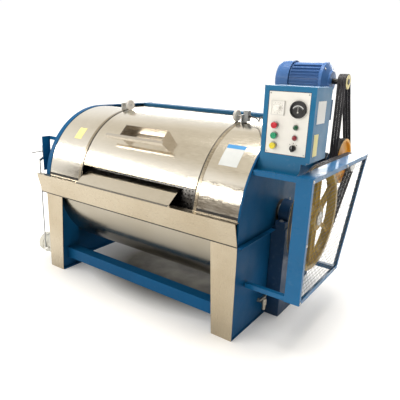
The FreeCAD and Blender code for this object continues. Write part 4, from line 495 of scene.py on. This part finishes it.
def punched(name, colour, pitch=0.026, hole=0.16):
    """Punched stainless: d = |fract(x / p) - 1/2, fract(R a / p) - 1/2|, dark and sunk where d < hole."""
    material, nodes = finish(name)
    along_drum, angle, _ = about_axis(nodes, *DRUM)
    drum_radius = box["drum_heads"][1][2] - DRUM_Z
    cells = reckon(nodes, "MULTIPLY", angle, drum_radius / pitch), reckon(nodes, "DIVIDE", along_drum, pitch)
    offsets = [reckon(nodes, "SUBTRACT", reckon(nodes, "FRACT", cell), 0.5) for cell in cells]
    mask = nodes.spread(hypotenuse(nodes, *offsets), 1.0, 0.0, hole, hole + 0.05)
    tint = nodes.ramp(nodes.noise(20, 4), (0.3, shade(colour, 0.85)), (0.7, colour))
    nodes.give({
        "Base Color": nodes.blend(mask, tint, (0.02, 0.02, 0.02)),
        "Metallic": 1.0,
        "Roughness": nodes.spread(nodes.noise(60, 3), 0.2, 0.35),
    })
    nodes.bump((mask, 0.002, 0.6))
    return material


# The drum's stainless is painted dark grey and its holes near-black: painted shade of the unlit inside of the
# tub.
dress(punched("punched_stainless", (0.16, 0.155, 0.148)), "drum_shell", "drum_door")
dress(stainless("drum_head_stainless", (0.66, 0.65, 0.62), 0.28, wave=0.004), "drum_heads")

# Seals and bearings. Rubber lip seals close the shaft holes in the tub's ends. Cast pillow blocks on
# welded pedestals carry the drum, a smaller pair carries the layshaft, and grease nipples feed them.
dress(seal_rubber, "shaft_seals")
# The pillow blocks and pedestals take a navy darker than the frame's blue, a painted shade.
dress(enamel("cast_navy", (0.006, 0.040, 0.105), 0.40), "shaft_bearings", "bearing_pedestals")
LAYSHAFT = LAY_Y, LAY_Z = pivot["layshaft_spin"][1:]
RIGHT_FACE = box["end_plate_right"][1][0]
BLOCK_OUT, BLOCK_BOLT_Y, BLOCK_FOOT, BLOCK_CROWN = 0.055, 0.103, 0.0425, 0.0845
LAY_BLOCK_OUT, LAY_BOLT_Y, LAY_FOOT = (0.037, 0.098), 0.063, 0.0265
block_x = LEFT_FACE - BLOCK_OUT, RIGHT_FACE + BLOCK_OUT
block_spots = corners(block_x, both(DRUM_Y, BLOCK_BOLT_Y), DRUM_Z - BLOCK_FOOT)
bolts("bearing_bolts", block_spots, (0, 0, 1), size=0.011)
nipple = turned([(0, 0), (0.006, 0), (0.006, 0.006), (0.003, 0.008), (0.003, 0.013), (0.0045, 0.016),
                 (0, 0.018)], 12)
nipple_spots = [(x, DRUM_Y, DRUM_Z + BLOCK_CROWN) for x in block_x]
piece("grease_nipples", repeated(nipple, nipple_spots), zinc, "frame")
lay_block_x = [RIGHT_FACE + out for out in LAY_BLOCK_OUT]
lay_spots = corners(lay_block_x, both(LAY_Y, LAY_BOLT_Y), LAY_Z - LAY_FOOT)
bolts("layshaft_bearing_bolts", lay_spots, (0, 0, 1), size=0.008)


# Drum wheel. A grooved iron casting with six ribbed spokes, sprayed ochre and keyed on the drum's
# shaft. The three V grooves of its rim take the belts from the layshaft.
def moved(shape, offset):
    """A shape shifted by an offset."""
    return shape[0] + np.array(offset, float), shape[1]


def grooved_rim(radius, inner, width, grooves=3, pitch=0.020, groove=0.017, depth=0.010):
    """A pulley rim's closed profile of (radius, height): V grooves outside, a rounded crown inside."""
    flank, edge, crown = 0.0015, 0.002, 0.008
    lead = (width - (grooves - 1) * pitch - groove) / 2
    vee = np.array([(0, 0), (flank, -depth), (groove - flank, -depth), (groove, 0)])
    outer = [vee + (lead + index * pitch, radius) for index in range(grooves)]
    near = [(0.0, inner), (0.0, radius - edge), (edge, radius)]
    far = [(width - edge, radius), (width, radius - edge), (width, inner)]
    back = [(width / 2, inner - crown), (0.0, inner)]
    return np.concatenate([near, *outer, far, back])[:, ::-1]


def spokes(wide, thick, columns, count=6, inner=0.070, outer=0.322, first=30, rows=15):
    """Cast spokes: ellipses whose width w and thickness t follow a parabola between hub, middle and rim.

    s = 0..1 from hub to rim; w = middle + (end - middle) (2 s - 1)^2, and t in the same way;
    P = (t/2 sin b, r cos a - w/2 cos b sin a, r sin a + w/2 cos b cos a).
    """
    share = np.linspace(0, 1, rows)
    half_wide, half_thick = (
        0.5 * (middle + (np.where(share < 0.5, hub, rim) - middle) * (2 * share - 1) ** 2)
        for hub, middle, rim in (wide, thick)
    )
    angle = np.arange(columns) * 2 * np.pi / columns
    across, deep = half_wide[:, None] * np.cos(angle), half_thick[:, None] * np.sin(angle)
    reach = (inner + (outer - inner) * share)[:, None]
    turn = np.radians(first + np.arange(count) * 360 / count)[:, None, None]
    cos, sin = np.cos(turn), np.sin(turn)
    deep = np.broadcast_to(deep, (count, rows, columns))
    points = np.stack([deep, reach * cos - across * sin, reach * sin + across * cos], -1)
    faces = grid_faces(rows, columns, wrap=True)
    return joined(*[(spoke, faces) for spoke in points.reshape(count, -1, 3)])


ochre = enamel("wheel_ochre", (0.62, 0.40, 0.060), 0.30, dust=(0.80, 0.66, 0.28))
wheel_low, wheel_high = box["drum_wheel"]
WHEEL_R, WHEEL_WIDTH, RIM_DEPTH = wheel_high[2] - DRUM_Z, wheel_high[0] - wheel_low[0], 0.032
HUB_BORE, HUB_R, HUB_EDGE = 0.0455, 0.082, 0.004
hub_half = [(HUB_BORE, 0), (HUB_R - HUB_EDGE, 0), (HUB_R, HUB_EDGE)]
hub_profile = hub_half + [(radius, WHEEL_WIDTH - height) for radius, height in hub_half[::-1]] + hub_half[:1]
rim_profile = grooved_rim(WHEEL_R, WHEEL_R - RIM_DEPTH, WHEEL_WIDTH)
rim_and_hub = along(joined(turned(rim_profile, 160), turned(hub_profile, 64)), (1, 0, 0))
flat_ribs = spokes((0.050, 0.034, 0.052), (0.030, 0.018, 0.030), columns=16)
edge_ribs = spokes((0.016, 0.010, 0.016), (0.052, 0.044, 0.052), columns=8)
wheel = joined(rim_and_hub, moved(joined(flat_ribs, edge_ribs), (WHEEL_WIDTH / 2, 0, 0)))
wheel = moved(wheel, (wheel_low[0], *DRUM))
drum_wheel = piece("wheel_casting", wheel, ochre, "drum", smooth=50)
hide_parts("drum_wheel")


# Belts and pulleys. Rubber V-belts run in the grooves of painted iron pulleys on a steel layshaft,
# whose bearings stand on a welded bracket. The belts have rubbed the rims black.
def pulley_enamel(name, colour, pulley, axis, deep=0.012, skin=0.0008):
    """Enamel worn black by the belts: dark behind the skin of the outer face, where r > R - deep."""
    material, nodes = finish(name)
    face, _, top = box[pulley][1]
    along_shaft, _, reach = about_axis(nodes, *axis)
    behind = reckon(nodes, "LESS_THAN", along_shaft, face - skin)
    outside = reckon(nodes, "GREATER_THAN", reach, round(top - axis[1], 4) - deep)
    belt_wear_and_floor_shadow = reckon(nodes, "MULTIPLY", behind, outside)
    paint = nodes.ramp(nodes.noise(6, 5), (0.3, shade(colour, 0.85)), (0.7, shade(colour, 1.05)))
    nodes.give({
        "Base Color": nodes.blend(belt_wear_and_floor_shadow, paint, (0.020, 0.018, 0.017)),
        "Roughness": nodes.spread(nodes.noise(20, 4), 0.32, 0.52),
    })
    nodes.bump((nodes.noise(180, 3), 0.0006, 0.2))
    dress(material, pulley)


dress(rubber("belt_rubber", (0.020, 0.018, 0.020), 0.5), "motor_belts", "drum_belts")
MOTOR = pivot["motor_spin"][1:]
pulley_enamel("pulley_amber", (0.90, 0.44, 0.030), "layshaft_large_pulley", LAYSHAFT)
pulley_enamel("pulley_straw", (0.82, 0.72, 0.33), "motor_pulley", MOTOR)
dress(stainless("turned_steel", (0.56, 0.56, 0.55), 0.26, grain=(90, 6, 6), wave=0.002), "layshaft")
dress(zinc_plate("oiled_steel", (0.060, 0.058, 0.055)), "motor_rotor")
dress(machine_blue, "layshaft_bracket", "motor_platform")
BRACKET_THICK, BRACKET_BOLTS_IN, BRACKET_BOLTS_DOWN = 0.015, (0.073, 0.032), (0.252, 0.132)
bracket_spots = [
    (RIGHT_FACE + BRACKET_THICK, LAY_Y - back, LAY_Z - down)
    for back in BRACKET_BOLTS_IN for down in BRACKET_BOLTS_DOWN
]
bolts("bracket_bolts", bracket_spots, (1, 0, 0), size=0.009)


# Motor. A finned iron frame between a pressed fan cowl and an end shield, sprayed blue and bolted to
# its stand. A wire grille closes the cowl's mouth, and the terminal box is screwed to the back.
def wire_ring(radius, wire, sides=72, round_sides=8):
    """A round wire bent to a ring about X: P = (w sin b, (R + w cos b) cos a, (R + w cos b) sin a)."""
    a = (np.arange(sides) * 2 * np.pi / sides)[:, None]
    b = (np.arange(round_sides) * 2 * np.pi / round_sides)[None]
    reach, deep = radius + wire * np.cos(b), np.broadcast_to(wire * np.sin(b), (sides, round_sides))
    points = np.stack([deep, reach * np.cos(a), reach * np.sin(a)], -1)
    return points.reshape(-1, 3), grid_faces(sides, round_sides, wrap=True, tube=True)


def bar(start, end, radius, sides=8):
    """A straight round bar between two points."""
    length = float(np.linalg.norm(end - start))
    return moved(along(rod(radius, length, sides), (end - start) / length), start)


motor_blue = enamel("motor_blue", (0.050, 0.150, 0.390), 0.34)
dress(motor_blue, "motor_frame", "motor_fan_cowl")
cowl_left, cowl_right = box["motor_fan_cowl"][:, 0]
GRILLE_RINGS, GRILLE_R, GRILLE_WIRE, GRILLE_IN = (0.016, 0.030, 0.044, 0.058), 0.062, 0.0016, 0.0025
grille_ends = round_axis(0, (0, 0), GRILLE_R, (0, 45, 90, 135))
grille = joined(
    *[wire_ring(radius, GRILLE_WIRE) for radius in GRILLE_RINGS],
    *[bar(-end, end, GRILLE_WIRE) for end in grille_ends],
)
piece("cowl_grille", moved(grille, (cowl_left + GRILLE_IN, *MOTOR)), zinc, "frame")
COWL_R = box["motor_fan_cowl"][1][1] - MOTOR[0]
LIP_IN, LIP_OUT, LIP_LENGTH, LIP_BACK = COWL_R - 0.001, COWL_R + 0.0025, 0.006, 0.0065
lip_profile = [(LIP_IN, 0), (LIP_OUT, 0), (LIP_OUT, LIP_LENGTH), (LIP_IN, LIP_LENGTH), (LIP_IN, 0)]
cowl_lip = moved(along(turned(lip_profile, 96), (1, 0, 0)), (cowl_right - LIP_BACK, *MOTOR))
piece("cowl_lip", cowl_lip, motor_blue, "frame")
motor_left, motor_right = box["motor_frame"][:, 0]
QUARTERS, SHIELD_IN, SHIELD_BOLT_R = (45, 135, 225, 315), 0.0335, 0.113
shield_spots = round_axis(motor_right - SHIELD_IN, MOTOR, SHIELD_BOLT_R, QUARTERS)
bolts("end_shield_bolts", shield_spots, (1, 0, 0), size=0.006)
FEET, FOOT_BOLT_Y, FOOT_THICK = (0.045, 0.187), 0.118, 0.0159
feet_x = [motor_left + foot for foot in FEET]
foot_spots = corners(feet_x, both(MOTOR[0], FOOT_BOLT_Y), box["motor_platform"][1][2] + FOOT_THICK)
bolts("motor_foot_bolts", foot_spots, (0, 0, 1), size=0.007)
TERMINAL_FROM, TERMINAL_TO, LID_IN, LID_RISE = (0.025, 0.110, -0.032), (0.125, 0.172, 0.058), 0.005, 0.006
terminal_low, terminal_high = np.array([motor_left, *MOTOR]) + np.array([TERMINAL_FROM, TERMINAL_TO])
lid_low = terminal_low[0] + LID_IN, terminal_high[1] - LAP, terminal_low[2] + LID_IN
lid_high = terminal_high[0] - LID_IN, terminal_high[1] + LID_RISE, terminal_high[2] - LID_IN
piece("terminal_box", block(terminal_low, terminal_high), motor_blue, "frame", bevel=0.006)
piece("terminal_lid", block(lid_low, lid_high), motor_blue, "frame", bevel=0.003)

# Belt guard. A ring of folded sheet in the same blue, screwed to struts on the right end plate.
# A panel of woven galvanised wire closes it outside and lets the wheel be seen.
guard_blue = enamel("guard_blue", (0.006, 0.130, 0.315), 0.26, dust=(0.2, 0.3, 0.4), coat=0.30, shine=0.10)
dress(guard_blue, "guard_frame")


def strand(path, up, radius, sides=6):
    """A wire of constant section along a path: P = path + r (cos b X + sin b up)."""
    ring = (np.arange(sides) * 2 * np.pi / sides)[:, None]
    section = radius * (np.cos(ring) * np.array([1, 0, 0]) + np.sin(ring) * np.array(up))
    return (path[:, None] + section).reshape(-1, 3), grid_faces(len(path), sides, wrap=True)


def woven_panel(front, low, back_low, back_top, top, x, pitch=0.026, wire=0.0010, clear=0.002):
    """Woven wire in a four-sided outline with a leaning back edge, y = back_low + lean (z - low).

    Each strand waves over and under the strands that it crosses: dx = 0.9 w cos(pi n) at the n-th.
    """
    lean = (back_top - back_low) / (top - low)
    columns = np.arange(front + pitch, max(back_low, back_top), pitch)
    rows = np.arange(low + pitch / 2, top, pitch)

    def wave(crossed, places, index):
        return x + 0.9 * wire * np.cos(np.pi * (np.searchsorted(crossed, places) + index))

    shapes = []
    for index, y in enumerate(columns):
        start = low if y <= back_low else low + (y - back_low) / lean
        heights = np.concatenate([[start], rows[rows > start + clear], [top]])
        path = np.stack([wave(rows, heights, index), np.full(len(heights), y), heights], 1)
        shapes.append(strand(path, (0, 1, 0), wire))
    for index, z in enumerate(rows):
        end = back_low + lean * (z - low)
        depths = np.concatenate([[front], columns[columns < end - clear], [end]])
        path = np.stack([wave(columns, depths, index + 1), depths, np.full(len(depths), z)], 1)
        shapes.append(strand(path, (0, 0, 1), wire))
    return joined(*shapes)


mesh_wire = zinc_plate("mesh_wire", (0.16, 0.17, 0.17))
(_, guard_front, guard_low), (guard_face, guard_back, guard_top) = box["guard_frame"]
MESH_IN, MESH_BACK_IN, MESH_BACK_LOW, MESH_SUNK = 0.004, 0.0075, 0.1685, 0.0055
woven = woven_panel(
    front=guard_front + MESH_IN, low=guard_low + MESH_IN, back_low=MESH_BACK_LOW,
    back_top=guard_back - MESH_BACK_IN, top=guard_top - MESH_IN, x=guard_face - MESH_SUNK,
)
mesh_panel = piece("woven_wire", woven, mesh_wire, "frame", smooth=80)
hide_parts("guard_mesh")
SCREW_IN, SCREW_EDGE, SCREW_GAP, SCREW_MIDDLE_Z = 0.013, 0.015, 0.0001, 0.69
SCREW_LOW_Y, SCREW_TOP_Y = 0.11, (0.10, 0.55)
screw_front, screw_low, screw_top = guard_front + SCREW_IN, guard_low + SCREW_EDGE, guard_top - SCREW_EDGE
screw_places = [(screw_front, z) for z in (screw_low, SCREW_MIDDLE_Z, screw_top)]
screw_places += [(SCREW_LOW_Y, screw_low), *[(y, screw_top) for y in SCREW_TOP_Y]]
screw_spots = [(guard_face + SCREW_GAP, y, z) for y, z in screw_places]
bolts("guard_screws", screw_spots, (1, 0, 0), size=0.006)

# Control box. A folded steel case in blue on a rounded bracket, with a white enamelled panel screwed into
# its mouth, ringed by a black strip that is a painted shadow line. The panel carries a black current meter
# and a white cycle timer.
dress(enamel("box_blue", (0.008, 0.155, 0.330), 0.30, coat=0.2), "control_box", "box_bracket")
panel_white = enamel("panel_white", (0.92, 0.91, 0.86), 0.34, dust=(0.94, 0.93, 0.89))
dress(panel_white, "control_panel", "cycle_timer")
dress(zinc, "panel_trim")
PANEL_Y = box["control_panel"][0][1]


def border(name, strip, rise, lap):
    """Four strips inside the edge of a CAD node's front, standing up by rise: bottom, top, left and right."""
    (left, front, low), (right, _, high) = box[name]
    sides = (
        (left, low, right, low + strip), (left, high - strip, right, high),
        (left, low, left + strip, high), (right - strip, low, right, high),
    )
    return joined(*[block((x0, front - rise, z0), (x1, front + lap, z1)) for x0, z0, x1, z1 in sides])


def facing(shape, spot, front=PANEL_Y):
    """A shape turned about Z, set to face the operator at a place (x, z) on the panel."""
    return moved(along(shape, (0, -1, 0)), (spot[0], front, spot[1]))


def middle(name):
    """The middle (x, z) of a CAD node, seen from the front."""
    return box[name].mean(0)[::2]


# A black strip round the panel's edge is a painted shadow line in the gap.
shadow_frame = border("control_panel", strip=0.0025, rise=0.0007, lap=LAP)
piece("panel_gasket", shadow_frame, seal_rubber, "frame")

METER = middle("current_meter")
plastic_black = rubber("black_plastic", (0.016, 0.016, 0.017), 0.30)
dress(plastic_black, "current_meter")
bezel = turned([(0.0395, 0.0072), (0.0395, 0.0145), (0.0420, 0.0160), (0.0445, 0.0150), (0.0462, 0.0110),
                (0.0465, 0.0)], 72)
piece("meter_bezel", facing(bezel, METER), plastic_black, "frame")
DIAL_TURN, ARC_STEPS, TICKS, TICK_HALF = (35, 145), 45, 11, 0.0006
TICK_IN, ARC_IN, ARC_OUT, ARC_RISE, TICK_RISE = 0.0285, 0.0335, 0.0375, 0.0073, 0.0074
needle_drop = METER[1] - pivot["needle_swing"][2]


def dial_row(count, radius, height):
    """Points round the needle's pivot: P = (r cos a, r sin a - drop, h)."""
    angle = np.radians(np.linspace(*DIAL_TURN, count))
    return np.stack([radius * np.cos(angle), radius * np.sin(angle) - needle_drop, np.full(count, height)], 1)


arc = np.concatenate([dial_row(ARC_STEPS, radius, ARC_RISE) for radius in (ARC_IN, ARC_OUT)])
tick_turn = np.radians(np.linspace(*DIAL_TURN, TICKS))
tick_side = TICK_HALF * np.stack([np.sin(tick_turn), -np.cos(tick_turn), np.zeros(TICKS)], 1)
tick_in, tick_out = (dial_row(TICKS, radius, TICK_RISE) for radius in (TICK_IN, ARC_IN))
ticks = np.stack([tick_in - tick_side, tick_in + tick_side, tick_out + tick_side, tick_out - tick_side], 1)
dial = joined((arc, grid_faces(2, ARC_STEPS)), (ticks.reshape(-1, 3), np.arange(4 * TICKS).reshape(TICKS, 4)))
piece("meter_scale", facing(dial, METER), label_white, "frame")
dress(enamel("needle_white", (0.72, 0.71, 0.67), 0.4), "meter_needle")

TIMER, timer_front = middle("cycle_timer"), box["cycle_timer"][0][1]
timer_rim = border("cycle_timer", strip=0.003, rise=0.002, lap=0.0003)
piece("timer_frame", timer_rim, lacquer("timer_grey", (0.74, 0.74, 0.71)), "frame")
timer_knob = turned([(0, 0), (0.019, 0), (0.019, 0.004), (0.0165, 0.006), (0.0150, 0.013), (0.013, 0.015),
                     (0, 0.015)], 40)
piece("timer_knob", facing(timer_knob, TIMER, timer_front), panel_white, "frame")
MARKS, MARK_RING, MARK_R, MARK_RISE, MARK_GAP = 12, 0.029, 0.0013, 0.0004, 0.0001
mark_turn = np.arange(MARKS) * 2 * np.pi / MARKS
mark_spots = [(MARK_RING * math.sin(turn), MARK_RING * math.cos(turn), 0) for turn in mark_turn]
marks = repeated(rod(MARK_R, MARK_RISE, 8), mark_spots)
piece("timer_marks", facing(marks, TIMER, timer_front - MARK_GAP), plastic_black, "frame")


# Buttons, lamps and selector. Moulded plastic caps and lenses in plated collars, each with its own
# colour. They go through holes in the panel and are held by nuts behind it.
def moulded(name, colour, gloss=0.22):
    """Moulded plastic: faint flow marks, a soft gloss and a fine skin."""
    stops = (0.3, shade(colour, 0.85)), (0.7, colour)
    return grained(name, stops, (70, 3), (90, 3), (gloss, gloss + 0.14), ((600, 2), 0.0002, 0.15))


cap = turned([(0, 0.0063), (0.0148, 0.0063), (0.0148, 0.0132), (0.0176, 0.0140), (0.0180, 0.0200),
              (0.0166, 0.0222), (0.0125, 0.0219), (0, 0.0208)], 44)
collar = turned([(0.0153, 0.0), (0.0216, 0.0), (0.0216, 0.0045), (0.0190, 0.0075), (0.0153, 0.0078),
                 (0.0153, 0.0)], 48)
for colour_name, colour in (
    ("red", (0.62, 0.025, 0.045)),
    ("green", (0.015, 0.33, 0.155)),
    ("yellow", (0.84, 0.70, 0.045)),
):
    button = f"button_{colour_name}"
    spot, plastic = middle(button), moulded(f"cap_{colour_name}", colour)
    shaped = piece(f"cap_{colour_name}", facing(cap, spot), plastic, button)
    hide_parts(button)
    piece(f"collar_{colour_name}", facing(collar, spot), zinc, "frame")

LENS_R = 0.014
lens = turned([(0, 0), (LENS_R, 0), (0.0138, 0.0060), (0.0118, 0.0105), (0.0075, 0.0128), (0, 0.0135)], 40)
lamp_low, lamp_high = box["panel_lamps"][:, ::2]
for colour_name, colour, spot in (
    ("green", (0.012, 0.10, 0.045), lamp_high - LENS_R),
    ("red", (0.26, 0.018, 0.030), lamp_low + LENS_R),
):
    glass = moulded(f"lens_{colour_name}", colour, 0.14)
    lamp = piece(f"lamp_{colour_name}", facing(lens, spot), glass, "frame")
    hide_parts("panel_lamps")

dress(plastic_black, "selector_knob")
KNOB_X, _, KNOB_Z = pivot["selector_turn"]
LINE_HALF, LINE_LENGTH, LINE_RISE, LINE_LAP = 0.0008, 0.0165, 0.0009, 0.0006
STOP_HALF, STOP_IN, STOP_OUT, STOP_RISE, STOP_LAP = 0.0012, 0.0245, 0.0315, 0.0006, 0.0002
knob_front = box["selector_knob"][0][1]
pointer = block((KNOB_X - LINE_HALF, knob_front - LINE_RISE, KNOB_Z),
                (KNOB_X + LINE_HALF, knob_front + LINE_LAP, KNOB_Z + LINE_LENGTH))
piece("selector_line", pointer, label_white, "selector")
stop_mark = block((-STOP_HALF, PANEL_Y - STOP_RISE, STOP_IN), (STOP_HALF, PANEL_Y + STOP_LAP, STOP_OUT))
stop_turns = [np.array(Matrix.Rotation(turn, 3, "Y")) for turn in np.radians((-45, 0, 45))]
stop_marks = joined(*[(stop_mark[0] @ turn.T, stop_mark[1]) for turn in stop_turns])
piece("selector_ticks", moved(stop_marks, (KNOB_X, 0, KNOB_Z)), plastic_black, "frame")


# Guide rollers and door switch. Turned nylon rollers, greyed by use, run on the door's edges from
# plated steel lugs. A grey moulded switch box with a lid is screwed to the side of the right lug.
def nylon(name, colour, gloss=0.4):
    """Turned nylon: fine rings of tool marks and a waxy gloss."""
    stops = (0.3, shade(colour, 0.9)), (0.7, colour)
    skin = (200, 2, (4, 1, 1)), 0.0003, 0.2
    ring, shine = (80, 4, (6, 1, 1)), (gloss, gloss + 0.15)
    return grained(name, stops, ring, (60, 3), shine, skin, Subsurface_Weight=0.05)


dress(nylon("roller_nylon", (0.56, 0.55, 0.52)), "guide_rollers")
dress(zinc, "roller_lugs")
switch_grey = moulded("switch_grey", (0.34, 0.35, 0.35), 0.38)
dress(switch_grey, "door_switch")
switch_low, switch_high = box["door_switch"]
LID_EDGE_X, LID_EDGE_Z, LID_FRONT, LID_BACK = 0.0017, 0.004, 0.0002, 0.002
switch_lid = block((switch_low[0] + LID_EDGE_X, switch_low[1] - LID_FRONT, switch_low[2] + LID_EDGE_Z),
                   (switch_high[0] - LID_EDGE_X, switch_low[1] + LID_BACK, switch_high[2] - LID_EDGE_Z))
piece("switch_lid", switch_lid, switch_grey, "frame", bevel=0.001)

# Switch cable. Round black rubber flex from the door switch to the control box, through a moulded gland
# at each end. It leaves the glands straight and sags between them.
route = [(0.6176, -0.098, 1.323), (0.6676, -0.098, 1.323), (0.7256, -0.165, 1.303), (0.7706, -0.250, 1.303),
         (0.8147, -0.3276, 1.357), (0.8807, -0.3276, 1.357)]
CABLE_THICK, GLAND_LAP = 0.008, 0.0002
for gland_name, axis, x, end, profile in (
    ("switch_gland", (1, 0, 0), switch_high[0], route[0],
     [(0, 0), (0.009, 0), (0.009, 0.010), (0.0065, 0.014), (0.0045, 0.014), (0.0045, 0), (0, 0)]),
    ("box_gland", (-1, 0, 0), box["control_box"][0][0] + GLAND_LAP, route[-1],
     [(0, 0), (0.012, 0), (0.012, 0.010), (0.0075, 0.016), (0.0045, 0.016), (0, 0.016)]),
):
    gland = moved(along(turned(profile, 20), axis), (x, *end[1:]))
    piece(gland_name, gland, plastic_black, "frame")

flex = bpy.data.curves.new("flex", "CURVE")
flex.dimensions = "3D"
flex.bevel_depth = CABLE_THICK / 2
flex.bevel_resolution = 4
flex.use_fill_caps = True
run = flex.splines.new("NURBS")
run.points.add(len(route) - 1)
run.points.foreach_set("co", np.column_stack([np.array(route), np.ones(len(route))]).ravel())
run.order_u = 3
run.use_endpoint_u = True
flex.materials.append(rubber("flex_rubber", (0.018, 0.018, 0.019), 0.42))
switch_flex = bpy.data.objects.new("switch_flex", flex)
bpy.context.scene.collection.objects.link(switch_flex)
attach(switch_flex, "frame")
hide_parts("switch_cable")

# Drain and test cock. A pale painted pipe with a bolted flange, a butterfly disc on a cranked spindle,
# and a plated lever that works it through a link rod. The cock is plated brass.
dress(enamel("pipe_enamel", (0.62, 0.61, 0.54), 0.4, dust=(0.70, 0.68, 0.58)), "drain_pipe")
dress(stainless("disc_stainless", (0.66, 0.65, 0.62), 0.28), "drain_disc")
dress(zinc_plate("lever_plate", (0.46, 0.46, 0.45)), "drain_lever", "link_rod")
dress(machine_blue, "lever_bracket")
FLANGE_THICK, FLANGE_BOLT_R = 0.0118, 0.0875
flange_spots = round_axis(LEFT_FACE - FLANGE_THICK, box["drain_pipe"].mean(0)[1:], FLANGE_BOLT_R, QUARTERS)
bolts("flange_bolts", flange_spots, (-1, 0, 0), size=0.0045)
dress(zinc_plate("plated_brass", (0.46, 0.42, 0.35)), "test_cock", "cock_handle")


# Studio. A pale, faintly glowing floor with a dark patch under the machine, a painted shadow, three softboxes
# and a white sky with a clouded ceiling. Two dark upright cards are seen only in the metal's reflections.
def board(name, outline, material):
    """A flat four-cornered board that serves the picture only."""
    mesh = bpy.data.meshes.new(name)
    mesh.from_pydata(outline, [], [(0, 1, 2, 3)])
    mesh.materials.append(material)
    item = bpy.data.objects.new(name, mesh)
    bpy.context.scene.collection.objects.link(item)
    return item


def reach_of(nodes, vector):
    """The length of a vector."""
    return nodes.add("VectorMath", operation="LENGTH", Vector=vector).outputs["Value"]


FLOOR_REACH, PATCH_X, PATCH_Y, PATCH_SHIFT = 40.0, 0.95, 0.66, -0.05
floor_finish, nodes = finish("floor_finish")
patch_scale = (1 / PATCH_X, 1 / PATCH_Y, 0)
patch_place = nodes.add("Mapping", Vector=nodes.spot(), Scale=patch_scale, Location=(PATCH_SHIFT, 0, 0))
patch = nodes.spread(reach_of(nodes, patch_place.outputs["Vector"]), low=1.0, high=0.0, start=0.55, end=1.0)
pale = nodes.ramp(nodes.noise(3, 4), (0.3, (0.90, 0.90, 0.90)), (0.7, (0.93, 0.93, 0.93)))
# The dark colour under the machine is a painted shadow; the floor's glow is turned off there.
belt_wear_and_floor_shadow = nodes.ramp(nodes.noise(5, 5), (0.3, (0.055, 0.051, 0.042)), (0.7, (0.16, 0.148, 0.12)))
glow = nodes.spread(reach_of(nodes, nodes.spot()), low=0.14, high=0.50, start=2.4, end=7.0)
nodes.give({
    "Base Color": nodes.blend(patch, pale, belt_wear_and_floor_shadow),
    "Roughness": 0.75,
    "Emission Color": nodes.ramp(patch, (0.0, (1, 1, 1)), (1.0, (0, 0, 0))),
    "Emission Strength": glow,
})
floor_corners = [(x * FLOOR_REACH, y * FLOOR_REACH, 0) for x, y in ((-1, -1), (1, -1), (1, 1), (-1, 1))]
board("floor", floor_corners, floor_finish)

CARD_LEFT, CARD_RIGHT, CARD_FRONT, CARD_BACK, CARD_TOP = -9.0, 7.0, -7.5, 4.5, 6.0
card_finish, nodes = finish("card_finish")
card_tint = nodes.ramp(nodes.noise(0.6, 3), (0.3, (0.085, 0.072, 0.057)), (0.7, (0.125, 0.105, 0.085)))
nodes.give({"Base Color": card_tint, "Roughness": 0.9})
for card_name, start, end in (
    ("front_card", (CARD_LEFT, CARD_FRONT), (CARD_RIGHT, CARD_FRONT)),
    ("right_card", (CARD_RIGHT, CARD_FRONT), (CARD_RIGHT, CARD_BACK)),
):
    card_corners = [(*start, 0), (*end, 0), (*end, CARD_TOP), (*start, CARD_TOP)]
    board(card_name, card_corners, card_finish).visible_camera = False

for panel_name, spot, target, size, power, tint in (
    ("overhead_panel", (0.4, 0.3, 6.5), (0.2, 0, 0), (3.4, 4.0), 340, (1.0, 0.98, 0.95)),
    ("front_strip", (-2.9, -4.3, 2.75), (0, -0.4, 0.9), (6.0, 1.0), 150, (1.0, 0.97, 0.92)),
    ("back_panel", (-1.4, 5.2, 2.55), (0.3, 0.2, 1.1), (7.0, 1.8), 220, (1.0, 0.99, 0.97)),
):
    lamp = bpy.data.lights.new(panel_name, "AREA")
    lamp.shape = "RECTANGLE"
    lamp.size, lamp.size_y = size
    lamp.energy = power
    lamp.color = tint
    panel = bpy.data.objects.new(panel_name, lamp)
    panel.location = spot
    panel.rotation_euler = (Vector(target) - Vector(spot)).to_track_quat("-Z", "Y").to_euler()
    panel.visible_camera = False
    bpy.context.scene.collection.objects.link(panel)

sky = bpy.data.worlds.new("studio_sky")
bpy.context.scene.world = sky
sky.use_nodes = True
nodes = Nodes(sky.node_tree, "Background", place="Generated")
height = nodes.add("SeparateXYZ", Vector=nodes.spot()).outputs["Z"]
ceiling = nodes.spread(height, low=0.0, high=1.0, start=0.48, end=0.72)
beams = nodes.ramp(nodes.noise(2.2, 3), (0.32, (0.56, 0.50, 0.41)), (0.68, (0.95, 0.90, 0.80)))
nodes.give({"Color": nodes.blend(ceiling, (1.07, 1.07, 1.07), beams), "Strength": 0.95})
bpy.context.scene.view_settings.view_transform = "Standard"

# Camera. It stands at the front right corner, a little above the drum, where the photograph was taken.
# Its place, turn and lens were fitted to the straight edges of the end plates, the fascia and the legs.
CAMERA_SPOT, LENS_MM, SENSOR_MM = (2.013, -2.6533, 1.5953), 39.11, 36
yaw, pitch, roll = (math.radians(angle) for angle in (34.6, 16.5, 2.2))
ahead = Vector((-math.sin(yaw) * math.cos(pitch), math.cos(yaw) * math.cos(pitch), -math.sin(pitch)))
side = Vector((math.cos(yaw), math.sin(yaw), 0))
lift = side.cross(ahead)
right = side * math.cos(roll) + lift * math.sin(roll)
above = lift * math.cos(roll) - side * math.sin(roll)
view = bpy.data.cameras.new("camera")
view.lens = LENS_MM
view.sensor_width = SENSOR_MM
view.dof.use_dof = False
camera = bpy.data.objects.new("camera", view)
stand = Matrix((right, above, -ahead)).transposed().to_4x4()
stand.translation = CAMERA_SPOT
camera.matrix_world = stand
bpy.context.scene.collection.objects.link(camera)
bpy.context.scene.camera = camera
